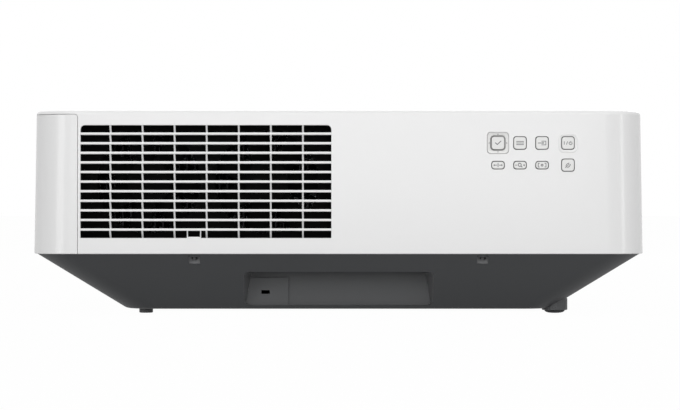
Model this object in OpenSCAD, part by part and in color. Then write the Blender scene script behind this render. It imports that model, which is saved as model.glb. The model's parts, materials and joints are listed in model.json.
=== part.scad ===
// Installation projector: a white drafted cabinet on a dark, sloped pan, with the
// exhaust grille and the control keys on the rear (-Y) and the lens on the front (+Y).
// Millimetres, +Z up. The origin is on the table, under the middle of the cabinet.

/* [Cabinet] */
// Width of the cabinet at its lower edge
body_w = 505; // [500:1:530]
// Depth of the cabinet at its lower edge
body_d = 406; // [396:1:430]
// Height of the white cabinet
shell_h = 117.5; // [115:0.5:135]
// Height of the dark pan
pan_h = 46.5; // [44:0.5:56]
// Ground clearance under the pan
foot_gap = 4; // [3:0.5:6]
// How far each wall leans in by the top of the cabinet
draft = 1.8; // [1:0.1:4]
// Radius of the upright corners
corner_r = 32; // [26:1:36]
// Radius of the cabinet's top and bottom edges
edge_r = 3; // [2:0.5:4]
// rounding of the cabinet's lower edge
hem_r = 0.8; // [0.4:0.1:3]
// Wall of the white mouldings
wall = 3; // [2.5:0.25:3.5]
// Width of the flange inside the cabinet's lower edge, from the outer face
flange_w = 14; // [13:0.5:18]

/* [Pan] */
// Step in from the cabinet's lower edge to the pan
pan_inset = 2.5; // [2:0.1:5]
// Run of the pan's left and right slopes
side_run = 71.6; // [64:0.1:74]
// Run of the pan's front and rear slopes
end_run = 39.5; // [34:0.1:42]
// Corner radius of the pan's upper outline
pan_top_r = 28; // [24:1:32]
// Corner radius of the pan's base
pan_base_r = 25; // [20:1:28]
// Wall of the pan
pan_wall = 2.5; // [2:0.25:3]

/* [Hand hold] */
// Width of the hand hold's mouth
hold_w = 157; // [120:1:160]
// Height of the hand hold
hold_h = 28.5; // [24:0.5:30]
// Height of the hand hold's floor over the pan's underside
hold_floor = 3; // [3:0.5:5]
// Depth of the hand hold's back, from the foot of the rear slope
hold_lip = 4.5; // [3.5:0.5:8]
// Width of the lock block at the left of the hand hold
lock_block_w = 36.5; // [34:0.5:40]
// How far the lock block stands out of the back of the hand hold
lock_block_t = 2; // [1:0.5:2.5]
// Width of the security slot
lock_w = 7; // [6.5:0.25:7.5]
// Height of the security slot
lock_h = 3; // [2.75:0.25:3.5]

/* [Grille] */
// Width of the grille window
grille_w = 205.6; // [196:0.2:208]
// Height of the grille window
grille_h = 92.5; // [88:0.1:94]
// Width of the strip of cabinet between the side cover and the grille window
grille_gap = 2.5; // [2:0.1:4]
// Height of the grille window's lower edge over the cabinet's lower edge
grille_sill = 13.15; // [12:0.05:15]
// Rows of cells
grille_rows = 12; // [8:1:14]
// Columns of cells
grille_cols = 8; // [6:1:10]
// Pitch of the upright ribs
rib_pitch = 26.33; // [22:0.01:28]
// Thickness of an upright rib
rib_t = 1.4; // [1.2:0.05:2.5]
// Height of a slat
slat_t = 1.9; // [1.6:0.1:3]

/* [Keys] */
// Pitch of the key columns
key_pitch = 18.05; // [17.5:0.05:19]
// Middle of the first key column, right of the cabinet's middle
key_u = 130.7; // [126:0.1:134]
// Height of the upper key row over the cabinet's lower edge
key_v = 91; // [88:0.1:93]
// Distance between the key rows
key_row = 18.15; // [17.5:0.05:19.5]
// Extra distance to the power column
power_step = 3.2; // [2:0.1:5]
// Side of a square key
key_s = 9.8; // [9:0.1:10.4]
// side of the enter key
enter_s = 10.2; // [9.4:0.1:10.6]
// Height of a lens key
lens_key_h = 5.7; // [5:0.1:8]
// Gap round a key
key_gap = 0.6; // [0.4:0.05:0.8]
// Travel of a key
key_travel = 0.6; // [0.3:0.05:0.7]
// Side of the direction pad
pad_s = 17.2; // [16.8:0.1:17.6]

/* [Lens] */
// Height of the lens axis over the cabinet's lower edge
lens_v = 58.5; // [58:0.5:60]
// Outer radius of the lens barrel
barrel_r = 38; // [36:0.5:38.5]
// Outer radius of the front cell
cell_r = 43; // [40:0.5:43.5]
// Travel of the lens up and down from the middle
shift_v = 5; // [3:0.5:5]
// Travel of the lens left and right from the middle
shift_h = 4; // [3:0.2:4]
// Module of the lens gears
gear_m = 1; // [0.98:0.01:1.01]
// Teeth on a lens ring
ring_teeth = 90; // [88:1:91]
// Teeth on a lens pinion
pinion_teeth = 16; // [15:1:17]

/* [Feet] */
// Radius of a screw foot's knob
knob_r = 10.7; // [9:0.1:11.5]
// Height of a screw foot's knob
knob_h = 10.3; // [8:0.1:12]
// Radius of a screw foot's stem
stem_r = 4; // [3:0.5:5]
// Travel of a screw foot
foot_travel = 12; // [6:0.5:12]
// Radius of the fixed foot
fixed_foot_r = 5.8; // [5:0.1:8]

/* [Fans] */
// Side of a fan frame
fan_s = 92; // [86:1:92]
// Thickness of a fan frame
fan_t = 25; // [20:1:28]
// Blades on a fan rotor
fan_blades = 7; // [5:1:9]

/* [Side cover] */
// Width of the side cover's return on the rear face
cover_wrap = 38.5; // [36:0.1:41]
// Distance from the cabinet's middle to the side cover's front edge
cover_front = 150; // [140:1:155]
// Height of the strip of cabinet over the side cover
cover_lip = 2.6; // [2.6:0.1:4]
// Seam round the side cover
seam = 0.4; // [0.3:0.05:0.6]
// Radius of the side cover's upper rear corner
cover_corner_r = 2.5; // [1:0.5:4]
// Rows of intake louvres
louvre_rows = 9; // [6:1:10]

/* [Mounts] */
// Spacing of the ceiling mount holes across the projector
mount_x = 200; // [180:1:220]
// Spacing of the ceiling mount holes along the projector
mount_y = 180; // [160:1:200]
// Radius of a ceiling mount hole
mount_r = 2; // [1.5:0.25:2.5]
// Depth of a ceiling mount hole
mount_depth = 10; // [8:0.5:12]

/* [Hidden] */
$fn = 64;

eps = 0.01;
hair = 0.05;                 // radial running clearance of a shaft in its bore
slip = 0.3;                  // clearance between pieces that move apart
z_base = foot_gap;
z_split = foot_gap + pan_h;
z_top = z_split + shell_h;
lean = atan(draft / shell_h);
edge_steps = 3;
corner_steps = 8;

white = [0.90, 0.90, 0.90];
off_white = [0.86, 0.86, 0.86];
charcoal = [0.22, 0.225, 0.23];
black = [0.06, 0.06, 0.06];
rubber = [0.10, 0.10, 0.10];
steel = [0.72, 0.73, 0.75];
alloy = [0.80, 0.80, 0.82];
brass = [0.78, 0.62, 0.30];
board_green = [0.08, 0.32, 0.18];
glass = [0.55, 0.65, 0.80];

// ---------- outlines and lofts ----------

// Points round a rectangle with round corners, anticlockwise seen from above.
function outline(hx, hy, r, z) = [
    for (c = [0:3], i = [0:corner_steps])
        let (a = 90 * c + 90 * i / corner_steps,
             sx = (c == 0 || c == 3) ? 1 : -1,
             sy = (c < 2) ? 1 : -1)
        [sx * (hx - r) + r * cos(a), sy * (hy - r) + r * sin(a), z]];

function lean_at(z) = draft * (z - z_split) / shell_h;

function body_ring(z, inset) = outline(body_w / 2 - lean_at(z) - inset,
    body_d / 2 - lean_at(z) - inset, max(corner_r - inset, 1), z);

function rim_ring(z) = outline(body_w / 2 - flange_w, body_d / 2 - flange_w,
    corner_r - flange_w, z);

// Half width, half depth and corner radius of the pan's outer face at a height.
function pan_share(z) = (z - z_base) / pan_h;
function pan_hx(z) = body_w / 2 - pan_inset - side_run * (1 - pan_share(z));
function pan_hy(z) = body_d / 2 - pan_inset - end_run * (1 - pan_share(z));
function pan_r(z) = pan_base_r + (pan_top_r - pan_base_r) * pan_share(z);
// A slope's wall, measured level, for a wall measured square to it.
function level(t, run) = t * sqrt(run * run + pan_h * pan_h) / pan_h;
function pan_ring(z, ix, iy) = outline(pan_hx(z) - ix, pan_hy(z) - iy, pan_r(z) - iy, z);

module loft(rings) {
    n = len(rings[0]);
    m = len(rings);
    polyhedron(
        points = [for (r = rings) each r],
        faces = concat(
            [[for (i = [0:n - 1]) i]],
            [[for (i = [n - 1:-1:0]) (m - 1) * n + i]],
            [for (j = [0:m - 2], i = [0:n - 1])
                [j * n + i, (j + 1) * n + i, (j + 1) * n + (i + 1) % n]],
            [for (j = [0:m - 2], i = [0:n - 1])
                [j * n + i, (j + 1) * n + (i + 1) % n, j * n + (i + 1) % n]]));
}

module rrect(w, h, r) {
    square([w - 2 * r, h], center = true);
    square([w, h - 2 * r], center = true);
    for (x = [-1, 1], y = [-1, 1])
        translate([x * (w / 2 - r), y * (h / 2 - r)]) circle(r);
}

module plate(w, h, t, r) {
    linear_extrude(t) rrect(w, h, r);
}

module stadium(w, h, t) {
    linear_extrude(t) {
        square([w - h, h], center = true);
        for (x = [-1, 1]) translate([x * (w - h) / 2, 0]) circle(h / 2);
    }
}

module tube(r_out, r_in, t) {
    difference() {
        cylinder(r = r_out, h = t);
        translate([0, 0, -1]) cylinder(r = r_in, h = t + 2);
    }
}

// A block between two corners.
module block(a, b) {
    translate(a) cube(b - a);
}

// ---------- frames that lie on the leaning walls ----------
// x runs to the right along the wall, y up it, z out of it. z = 0 is the outer face.

module on_rear() {
    translate([0, -body_d / 2, z_split]) rotate([90 - lean, 0, 0]) children();
}

module on_front() {
    rotate([0, 0, 180]) on_rear() children();
}

module on_right() {
    rotate([0, 0, 90]) translate([0, -body_w / 2, z_split])
        rotate([90 - lean, 0, 0]) children();
}

module on_left() {
    rotate([0, 0, -90]) translate([0, -body_w / 2, z_split])
        rotate([90 - lean, 0, 0]) children();
}

// ---------- cabinet shell, shared by the cabinet and the side cover ----------

flange_t = 3;

module shell_outer() {
    loft(concat(
        [for (i = [0:edge_steps]) let (a = 90 * i / edge_steps)
            body_ring(z_split + hem_r * (1 - cos(a)), hem_r * (1 - sin(a)))],
        [for (i = [0:edge_steps]) let (a = 90 * i / edge_steps)
            body_ring(z_top - edge_r * (1 - sin(a)), edge_r * (1 - cos(a)))]));
}

module shell() {
    difference() {
        shell_outer();
        loft([body_ring(z_split + flange_t, wall), body_ring(z_top - wall, wall)]);
        loft([rim_ring(z_split - 1), rim_ring(z_split + flange_t + 1)]);
    }
}

// The space of the side cover, grown by a gap.
module cover_zone(gap) {
    r = cover_corner_r + gap;
    x1 = -body_w / 2 + cover_wrap + gap;
    z1 = z_top - cover_lip - seam + gap;
    translate([0, cover_front + gap, 0]) rotate([90, 0, 0]) linear_extrude(2 * body_d) {
        translate([-body_w, z_split - 1]) square([body_w + x1 - r, z1 - z_split + 1]);
        translate([-body_w, z_split - 1]) square([body_w + x1, z1 - r - z_split + 1]);
        translate([x1 - r, z1 - r]) circle(r);
    }
}

// ---------- screws that hold the pan to the cabinet ----------

screw_r = 1.5;
screw_head_r = 2.4;
screw_head_t = 2;
screw_boss_r = 3.8;
screw_grip = 6;              // thread length over the flange
screw_inset = 9;             // from the cabinet's lower edge to the screw axis
rear_screw_x = 118.4;
side_screw_y = 140;
// Each screw: how far the wall is turned, how far along the wall, half size of the body there
screw_sites = [
    [0, rear_screw_x, body_d / 2], [0, -rear_screw_x, body_d / 2],
    [180, rear_screw_x, body_d / 2], [180, -rear_screw_x, body_d / 2],
    [90, side_screw_y, body_w / 2], [90, -side_screw_y, body_w / 2]];
rim_t = 2.6;                 // thickness of the pan's rim where a screw seats

module at_screws() {
    for (s = screw_sites)
        rotate([0, 0, s[0]]) translate([s[1], -s[2] + screw_inset, 0]) children();
}

// ---------- lens opening and windows in the front wall ----------

z_lens = z_split + lens_v;
lens_hole_r = cell_r + norm([shift_v, shift_h]) + 3;
bezel_wall = 1.8;
bezel_lip = 2;
window_u = 104;
window_v = 62;
window_w = 34;
window_h = 12;

// ---------- terminal bay in the right wall ----------

bay_w = 214;
bay_h = 54;
bay_v = 34;
bay_depth = 16;
bay_wall = 2;

// ---------- grille placement ----------

grille_u = -body_w / 2 + cover_wrap + grille_gap + grille_w / 2;
grille_v = grille_sill + grille_h / 2;
grille_corner_r = 3.6;
slat_d = 9;                  // depth of a slat
frame_d = 11;                // depth of the frame behind the wall
frame_gap = 1.6;             // from the window's edge to the frame
rib_d = 2.5;                 // thickness of a rib from front to back
rib_shift = 0.5;             // how far right of the grille's middle the middle rib stands
rib_set = 6.5;               // how far a rib falls back down each cell
cell_h = (grille_h - (grille_rows - 1) * slat_t) / grille_rows;
grille_pitch = cell_h + slat_t;

module grille_window(grow) {
    w = grille_w + 2 * grow;
    h = grille_h + 2 * grow;
    r = grille_corner_r;
    translate([-w / 2, -h / 2]) square([w, h - r]);
    translate([-w / 2 + r, -h / 2]) square([w - 2 * r, h]);
    for (x = [-1, 1]) translate([x * (w / 2 - r), h / 2 - r]) circle(r);
}

// ---------- key layout ----------

key_r = 2.1;
power_u = key_u + 2 * key_pitch + key_pitch + power_step;
lower_v = key_v - key_row;
key_proud = 0.5;
key_flange = 1.2;            // how far a key's flange reaches past its cap
key_flange_t = 1;
pad_gap = 0.3;
pad_r = 3;
guard_w = 15.8;               // outside of the low rim round the power key
guard_t = 0.4;
guard_gap = 0.8;              // from the power key to the rim
stem_end = 3.3;              // depth of a key's stem behind the wall
switch_top = stem_end + 0.1 + key_travel;
board_face = 8;              // depth of the key board's face behind the wall
board_t = 1.6;
board_post_r = 3;
board_w = 94;
board_h = 46;
board_u = key_u + 29.3;
board_v = key_v - 9;

// Each key: column middle, row middle, width, height
enter_at = [key_u, key_v, enter_s, enter_s];
menu_at = [key_u + key_pitch, key_v, key_s, key_s];
input_at = [key_u + 2 * key_pitch, key_v, key_s, key_s];
power_at = [power_u, key_v, key_s, key_s];
shift_at = [key_u, lower_v, key_s, lens_key_h];
zoom_at = [key_u + key_pitch, lower_v, key_s, lens_key_h];
focus_at = [key_u + 2 * key_pitch, lower_v, key_s, lens_key_h];
eco_at = [power_u, lower_v, key_s, key_s - 0.3];
wall_keys = [menu_at, input_at, power_at, shift_at, zoom_at, focus_at, eco_at];

module at_key(k, z) {
    translate([k[0], k[1], z]) children();
}

module key_opening(k) {
    at_key(k, -wall - 2)
        plate(k[2] + 2 * key_gap, k[3] + 2 * key_gap, wall + 4, key_r + key_gap / 2);
}

module power_guard() {
    inner = key_s + 2 * guard_gap;
    at_key(power_at, -eps) linear_extrude(guard_t + eps) difference() {
        rrect(guard_w, guard_w, key_r + 2);
        rrect(inner, inner, key_r + guard_gap);
    }
}

module board_posts(r, from, to) {
    for (x = [-1, 1], y = [-1, 1])
        translate([board_u + x * (board_w / 2 - 4), board_v + y * (board_h / 2 - 4), -to])
            cylinder(r = r, h = to - from);
}

// ---------- partition that closes off the filter's chamber ----------

filter_t = 12;
partition_x = body_w / 2 - draft - wall - filter_t - 3;
partition_t = 3;
partition_z0 = z_split + flange_t + 2;

module partition() {
    difference() {
        block([-partition_x, -body_d / 2 + wall + draft + 8, partition_z0],
            [-partition_x + partition_t, cover_front, z_top - cover_lip + eps]);
        block([-partition_x - 1, -100, z_split + 20],
            [-partition_x + partition_t + 1, 100, z_top - 20]);
    }
}

module top_cabinet() {
    color(white) difference() {
        union() {
            difference() {
                shell();
                cover_zone(seam);
            }
            partition();
            intersection() {
                shell_outer();
                at_screws() translate([0, 0, z_split + flange_t - eps])
                    cylinder(r = screw_boss_r, h = screw_grip + 1.5);
            }
            on_rear() board_posts(board_post_r, wall - eps, wall + board_face);
            on_rear() power_guard();
        }
        at_screws() translate([0, 0, z_split - 1])
            cylinder(r = screw_r + hair, h = flange_t + screw_grip + 1.5);
        on_rear() {
            translate([grille_u, grille_v, -wall - 1])
                linear_extrude(wall + 2) grille_window(0);
            for (k = wall_keys) key_opening(k);
            at_key(enter_at, -wall - 2)
                plate(pad_s + 2 * pad_gap, pad_s + 2 * pad_gap, wall + 4, pad_r);
        }
        on_front() {
            translate([0, lens_v, -wall - 1]) cylinder(r = lens_hole_r, h = wall + 2);
            translate([window_u, window_v, -wall - 1]) stadium(window_w, window_h, wall + 2);
        }
        on_right() translate([0, bay_v, -wall - 1]) plate(bay_w, bay_h, wall + 2, 3);
    }
}

// ---------- screw feet ----------

foot_pad_r = 8.5;
foot_pad_t = 2.5;
foot_pin_r = 3;
foot_pin_h = 5;
recess_r = knob_r + 1.3;
knob_z0 = foot_pad_t;
knob_z1 = foot_pad_t + knob_h;
recess_z = knob_z1 + 1.2;
nut_z0 = recess_z + 4;
nut_h = foot_travel;
nut_r = stem_r + 3;
foot_boss_r = nut_r + 2;
stem_z1 = nut_z0 + nut_h + 4;
rear_foot_at = [pan_hx(z_base) + 3.4, -pan_hy(z_base) + 18.5];
front_foot_at = [0, pan_hy(z_base) - 26];
fixed_foot_at = [-pan_hx(z_base) + 16.2, -pan_hy(z_base) + 23];
screw_feet = [rear_foot_at, front_foot_at];

// ---------- hand hold and lock ----------

hold_z0 = z_base + hold_floor;
hold_z1 = hold_z0 + hold_h;
hold_back = -pan_hy(z_base) + hold_lip;
hold_flare = 0.19;           // how far each side leans in, per depth
lock_x1 = -hold_w / 2 + lock_block_w;
lock_z = hold_z0 + 11;
lock_slot_x = lock_x1 - 19;
notch_w = 9.2;
notch_z0 = z_split - 8.2;
notch_lip = 5;                // how far in the rim is cut back over a screw pocket
post_r = 4;
chassis_z = z_base + 18;
chassis_t = 1.5;
chassis_x = pan_hx(z_base) - 15;
chassis_y = pan_hy(z_base) - 23;
chassis_posts = [for (x = [-1, 1], y = [-1, 0, 1]) [x * (chassis_x - 10), y * (chassis_y - 10)]];
mount_boss_r = 7;
insert_r = 4;

module pan_outer() {
    loft([pan_ring(z_base, 2, 2), pan_ring(z_base + 1, 0, 0), pan_ring(z_split, 0, 0)]);
}

module at_mounts() {
    for (x = [-1, 1], y = [-1, 1]) translate([x * mount_x / 2, y * mount_y / 2, 0]) children();
}

module pan_shell() {
    ix = level(pan_wall, side_run);
    iy = level(pan_wall, end_run);
    difference() {
        pan_outer();
        loft([pan_ring(z_base + pan_wall, ix, iy), pan_ring(z_split - rim_t, ix, iy)]);
        loft([rim_ring(z_split - rim_t - 1), rim_ring(z_split + 1)]);
    }
}

// Pockets that open the slope under each screw head, with an upright back wall.
module screw_notches(grow) {
    for (s = screw_sites) {
        back = s[2] - screw_inset - screw_head_r - 0.1;
        rotate([0, 0, s[0]])
            block([s[1] - notch_w / 2 - grow, -s[2] - 1, notch_z0 - grow],
                [s[1] + notch_w / 2 + grow, -back + grow, z_split - rim_t + (grow > 0 ? eps : 0)]);
        if (grow == 0) rotate([0, 0, s[0]])
            block([s[1] - notch_w / 2, -s[2] - 1, notch_z0],
                [s[1] + notch_w / 2, -s[2] + notch_lip, z_split + 1]);
    }
}

// The hand hold's hollow: its mouth lies along the slope, its back is upright, and its
// sides lean in with depth.
module hold_space(grow) {
    over = 20;
    hx = hold_w / 2 + over * hold_flare + grow;
    zc = (hold_z0 + hold_z1) / 2;
    back = hold_back + grow;
    mouth = [for (p = outline(hx, hold_h / 2 + grow, 4, 0))
        [p[0], -pan_hy(zc + p[1]) - over, zc + p[1]]];
    loft([[for (m = mouth) [m[0] * (1 - hold_flare * (back - m[1]) / hx), back, m[2]]], mouth]);
}

module lock_slot(from, to) {
    block([lock_slot_x - lock_w / 2, from, lock_z - lock_h / 2],
        [lock_slot_x + lock_w / 2, to, lock_z + lock_h / 2]);
}

module bottom_pan() {
    color(charcoal) difference() {
        union() {
            pan_shell();
            intersection() {
                pan_outer();
                union() {
                    hold_space(pan_wall);
                    screw_notches(pan_wall);
                    for (f = screw_feet) translate([f[0], f[1], 0]) {
                        cylinder(r = recess_r + pan_wall, h = recess_z + 3);
                        cylinder(r = foot_boss_r, h = nut_z0 + nut_h);
                    }
                    at_mounts() cylinder(r = mount_boss_r, h = z_base + mount_depth + 3);
                    for (p = chassis_posts) translate([p[0], p[1], 0])
                        cylinder(r = post_r, h = chassis_z);
                }
            }
        }
        difference() {
            hold_space(0);
            block([-hold_w / 2 - 10, hold_back - lock_block_t, z_base],
                [lock_x1, hold_back + 1, hold_z1 - 5.5]);
        }
        lock_slot(hold_back - lock_block_t - 1, hold_back + pan_wall + 1);
        screw_notches(0);
        at_screws() translate([0, 0, z_split - rim_t - 1])
            cylinder(r = screw_r + hair, h = rim_t + 2);
        for (f = screw_feet) translate([f[0], f[1], -1]) {
            cylinder(r = recess_r, h = recess_z + 1);
            cylinder(r = stem_r + 0.5, h = z_split);
            translate([0, 0, nut_z0 + 1]) cylinder(r = nut_r, h = z_split);
        }
        at_mounts() translate([0, 0, z_base - 1]) cylinder(r = insert_r, h = mount_depth + 1);
        translate([fixed_foot_at[0], fixed_foot_at[1], z_base - 1])
            cylinder(r = foot_pin_r + hair, h = 3);
    }
}

module mount_inserts() {
    color(brass) at_mounts() translate([0, 0, z_base]) tube(insert_r, mount_r, mount_depth);
}

module foot_nuts() {
    color(brass) for (f = screw_feet)
        translate([f[0], f[1], nut_z0]) tube(nut_r, stem_r + hair, nut_h);
}

module fixed_foot() {
    color(rubber) translate([fixed_foot_at[0], fixed_foot_at[1], 0]) {
        cylinder(r1 = fixed_foot_r - 0.6, r2 = fixed_foot_r, h = 0.6);
        translate([0, 0, 0.6]) cylinder(r = fixed_foot_r, h = foot_gap - 0.6);
        cylinder(r = foot_pin_r, h = foot_gap + 1.8);
    }
}

module foot_pad(at) {
    color(rubber) translate([at[0], at[1], 0]) {
        cylinder(r1 = foot_pad_r - 2.5, r2 = foot_pad_r, h = foot_pad_t - slip);
        cylinder(r = foot_pin_r, h = foot_pad_t + foot_pin_h);
    }
}

module foot_stud(at) {
    grips = 18;
    color(charcoal) translate([at[0], at[1], 0]) difference() {
        union() {
            translate([0, 0, knob_z0]) cylinder(r = knob_r, h = knob_h);
            translate([0, 0, knob_z1 - eps]) cylinder(r = stem_r, h = stem_z1 - knob_z1);
        }
        translate([0, 0, knob_z0 - 1]) cylinder(r = foot_pin_r + hair, h = foot_pin_h + 1 + slip);
        for (i = [0:grips - 1]) rotate([0, 0, i * 360 / grips])
            translate([knob_r + 0.7, 0, knob_z0 - 1]) cylinder(r = 1.2, h = knob_h + 2, $fn = 24);
    }
}

module rear_foot_pad() { foot_pad(rear_foot_at); }
module front_foot_pad() { foot_pad(front_foot_at); }
module rear_foot_stud() { foot_stud(rear_foot_at); }
module front_foot_stud() { foot_stud(front_foot_at); }

module lock_plate() {
    t = 2;
    color(steel) difference() {
        block([lock_slot_x - 12, hold_back + pan_wall, lock_z - 9],
            [lock_slot_x + 12, hold_back + pan_wall + t, lock_z + 9]);
        lock_slot(hold_back, hold_back + pan_wall + t + 1);
    }
}

module cabinet_screws() {
    color(steel) at_screws() translate([0, 0, z_split - rim_t]) {
        difference() {
            translate([0, 0, -screw_head_t]) cylinder(r = screw_head_r, h = screw_head_t);
            for (a = [0, 90]) rotate([0, 0, a])
                translate([-1.4, -0.3, -screw_head_t - 1]) cube([2.8, 0.6, 2]);
        }
        translate([0, 0, -eps]) cylinder(r = screw_r, h = rim_t + flange_t + screw_grip);
    }
}

// ---------- exhaust: grille, duct and fans ----------

catch_u = 9.8;               // middle of the catch, left of the grille's middle
catch_w = 10.8;
duct_wall = 2;
frame_lip = 2;
fan_y0 = -body_d / 2 + 35;
fan_y1 = fan_y0 + fan_t;
fan_z = z_split + grille_v;
fan_pitch = 98;
fan_bore = fan_s / 2 - 2.2;
fan_x = [grille_u - fan_pitch / 2, grille_u + fan_pitch / 2];
fan_pin_r = 2;
fan_hub_r = 18;

module along_y(x, y, z) {
    translate([x, y, z]) rotate([-90, 0, 0]) children();
}

// Side outline of one rib in one cell: it falls back from the front of the slat above
// to the back of the slat below.
module rib_outline(y) {
    polygon([[y + eps, 0], [y - cell_h - eps, -rib_set],
        [y - cell_h - eps, -rib_set - rib_d], [y + eps, -rib_d]]);
}

module exhaust_grille() {
    w = grille_w / 2;
    h = grille_h / 2;
    reach = frame_gap + 0.1;
    color(white) on_rear() translate([grille_u, grille_v, 0]) {
        translate([0, 0, -frame_d]) linear_extrude(frame_d - wall) difference() {
            grille_window(frame_lip);
            grille_window(frame_gap);
        }
        for (i = [1:grille_rows - 1]) {
            y = h - i * grille_pitch;
            block([-w + hair, y, -slat_d], [w - hair, y + slat_t, 0]);
            block([-w - reach, y, -slat_d], [w + reach, y + slat_t, -wall]);
        }
        for (i = [1:grille_cols - 1])
            translate([(i - grille_cols / 2) * rib_pitch + rib_shift - rib_t / 2, 0, 0]) {
                rotate([90, 0, 90]) linear_extrude(rib_t) intersection() {
                    union() for (j = [0:grille_rows - 1]) rib_outline(h - j * grille_pitch);
                    translate([-h + hair, -frame_d]) square([2 * (h - hair), frame_d]);
                }
                block([0, h - 2, -wall - 3], [rib_t, h + reach, -wall]);
                block([0, -h - reach, -slat_d], [rib_t, -h + 0.5, -rib_set]);
            }
        for (x = [-1, 1]) translate([-catch_u + x * catch_w / 2, -h, 0])
            block([-0.3, hair, -slat_d], [0.3, cell_h + 1, 0]);
        block([-catch_u - catch_w / 2 - 0.3, -h - reach, -slat_d],
            [-catch_u + catch_w / 2 + 0.3, -h + 1, -wall]);
    }
}

module exhaust_duct() {
    w = grille_w / 2;
    h = grille_h / 2;
    color(black) difference() {
        on_rear() translate([grille_u, grille_v, -60]) linear_extrude(60 - frame_d)
            square([2 * (w + duct_wall), 2 * (h + duct_wall)], center = true);
        difference() {
            on_rear() translate([grille_u, grille_v, -60])
                linear_extrude(61 - frame_d) square([2 * w, 2 * h], center = true);
            block([-body_w / 2, fan_y0 - duct_wall, 0], [body_w / 2, 0, z_top]);
        }
        block([-body_w / 2, fan_y0, 0], [body_w / 2, 0, z_top]);
        for (x = fan_x) along_y(x, fan_y0 - 10, fan_z) cylinder(r = fan_bore - 1, h = 20);
    }
}

module fan_frames() {
    color(black) for (x = fan_x) along_y(x, fan_y0, fan_z) {
        difference() {
            plate(fan_s, fan_s, fan_t, 4);
            translate([0, 0, -1]) cylinder(r = fan_bore, h = fan_t + 2);
            for (a = [45:90:315]) rotate([0, 0, a])
                translate([(fan_s / 2 - 5) * sqrt(2), 0, -1]) cylinder(r = 2.2, h = fan_t + 2);
        }
        translate([0, 0, fan_t - 4]) cylinder(r = fan_hub_r - 2, h = 4);
        for (a = [0:90:270]) rotate([0, 0, a + 20])
            translate([0, -2, fan_t - 3]) cube([fan_bore + 1, 4, 3]);
        translate([0, 0, 4]) cylinder(r = fan_pin_r, h = fan_t - 5);
    }
}

module fan_rotor(x) {
    color(charcoal) along_y(x, fan_y0, fan_z) difference() {
        union() {
            translate([0, 0, 3]) cylinder(r = fan_hub_r, h = fan_t - 8);
            intersection() {
                translate([0, 0, 2]) cylinder(r = fan_bore - 1, h = fan_t - 6.5);
                for (a = [0:fan_blades - 1]) rotate([0, 0, a * 360 / fan_blades])
                    translate([fan_hub_r - 2, 0, fan_t / 2 - 1.5]) rotate([38, 0, 0])
                        translate([0, -11, -0.8]) cube([fan_s, 22, 1.6]);
            }
        }
        cylinder(r = fan_pin_r + hair, h = fan_t + 2);
        translate([0, 0, fan_t - 12]) cylinder(r = fan_hub_r - 3, h = 14);
    }
}

module fan_rotor_left() { fan_rotor(fan_x[0]); }
module fan_rotor_right() { fan_rotor(fan_x[1]); }

// ---------- side cover and its filter ----------

filter_w = 192;
filter_h = 74;
filter_v = 59;
pleats = 40;
louvre_w = 58;
louvre_h = 4;

module at_filter(z) {
    on_left() translate([0, filter_v, z]) children();
}

module side_cover() {
    pitch = (filter_h - 10) / louvre_rows;
    color(white) difference() {
        union() {
            intersection() {
                shell();
                cover_zone(0);
            }
            at_filter(-wall - 8) linear_extrude(8 + eps)
                square([filter_w + 4, filter_h + 4], center = true);
        }
        at_filter(-wall - 9) linear_extrude(8)
            square([filter_w + 0.2, filter_h + 0.2], center = true);
        at_filter(-wall - 2) linear_extrude(2)
            square([filter_w - 8, filter_h - 8], center = true);
        for (i = [0:louvre_rows - 1], u = [-1, 0, 1])
            at_filter(-wall - 2)
                translate([u * (louvre_w + 4), (i - (louvre_rows - 1) / 2) * pitch, 0])
                    stadium(louvre_w, louvre_h, wall + 4);
    }
}

module filter_cartridge() {
    dx = (filter_w - 8) / pleats;
    crest = -wall - 1 - filter_t + 8.5;
    color(off_white) {
        at_filter(-wall - 1 - filter_t) linear_extrude(filter_t) difference() {
            square([filter_w, filter_h], center = true);
            square([filter_w - 8, filter_h - 8], center = true);
        }
        at_filter(0) translate([0, filter_h / 2 - 3.5, 0]) rotate([90, 0, 0])
            linear_extrude(filter_h - 7)
                polygon(concat(
                    [for (i = [0:pleats]) [i * dx - filter_w / 2 + 4, crest - (i % 2) * 6]],
                    [for (i = [pleats:-1:0]) [i * dx - filter_w / 2 + 4, crest + 1.5 - (i % 2) * 6]]));
    }
}

// ---------- control keys ----------

module key_cap(k, flange_z, extra) {
    at_key(k, 0) {
        translate([0, 0, flange_z]) plate(k[2], k[3], key_proud - flange_z, key_r);
        translate([0, 0, flange_z - key_flange_t])
            plate(k[2] + 2 * extra, k[3] + 2 * extra, key_flange_t, key_r);
        translate([0, 0, -wall - stem_end]) cylinder(r = 1.5, h = stem_end);
    }
}

module wall_key(k) {
    color(white) on_rear() key_cap(k, -wall - slip, key_flange);
}

module key_menu() { wall_key(menu_at); }
module key_input() { wall_key(input_at); }
module key_power() { wall_key(power_at); }
module key_shift() { wall_key(shift_at); }
module key_zoom() { wall_key(zoom_at); }
module key_focus() { wall_key(focus_at); }
module key_eco() { wall_key(eco_at); }

pad_hole = enter_s + 2.2;
pad_z1 = 0.3;                // the pad's face at its corners
pad_z0 = -wall - 1.3;
pin_z = -wall - 3;
pin_r = 0.6;
ring_z0 = pin_z - 0.7;
ring_in = pad_hole / 2 + 0.6;
ring_out = ring_in + 1;
lug_in = ring_out + 0.3;
lug_out = lug_in + 1.6;

module key_enter() {
    color(white) on_rear() key_cap(enter_at, pad_z0 - 0.9, key_flange - 0.2);
}

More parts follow.
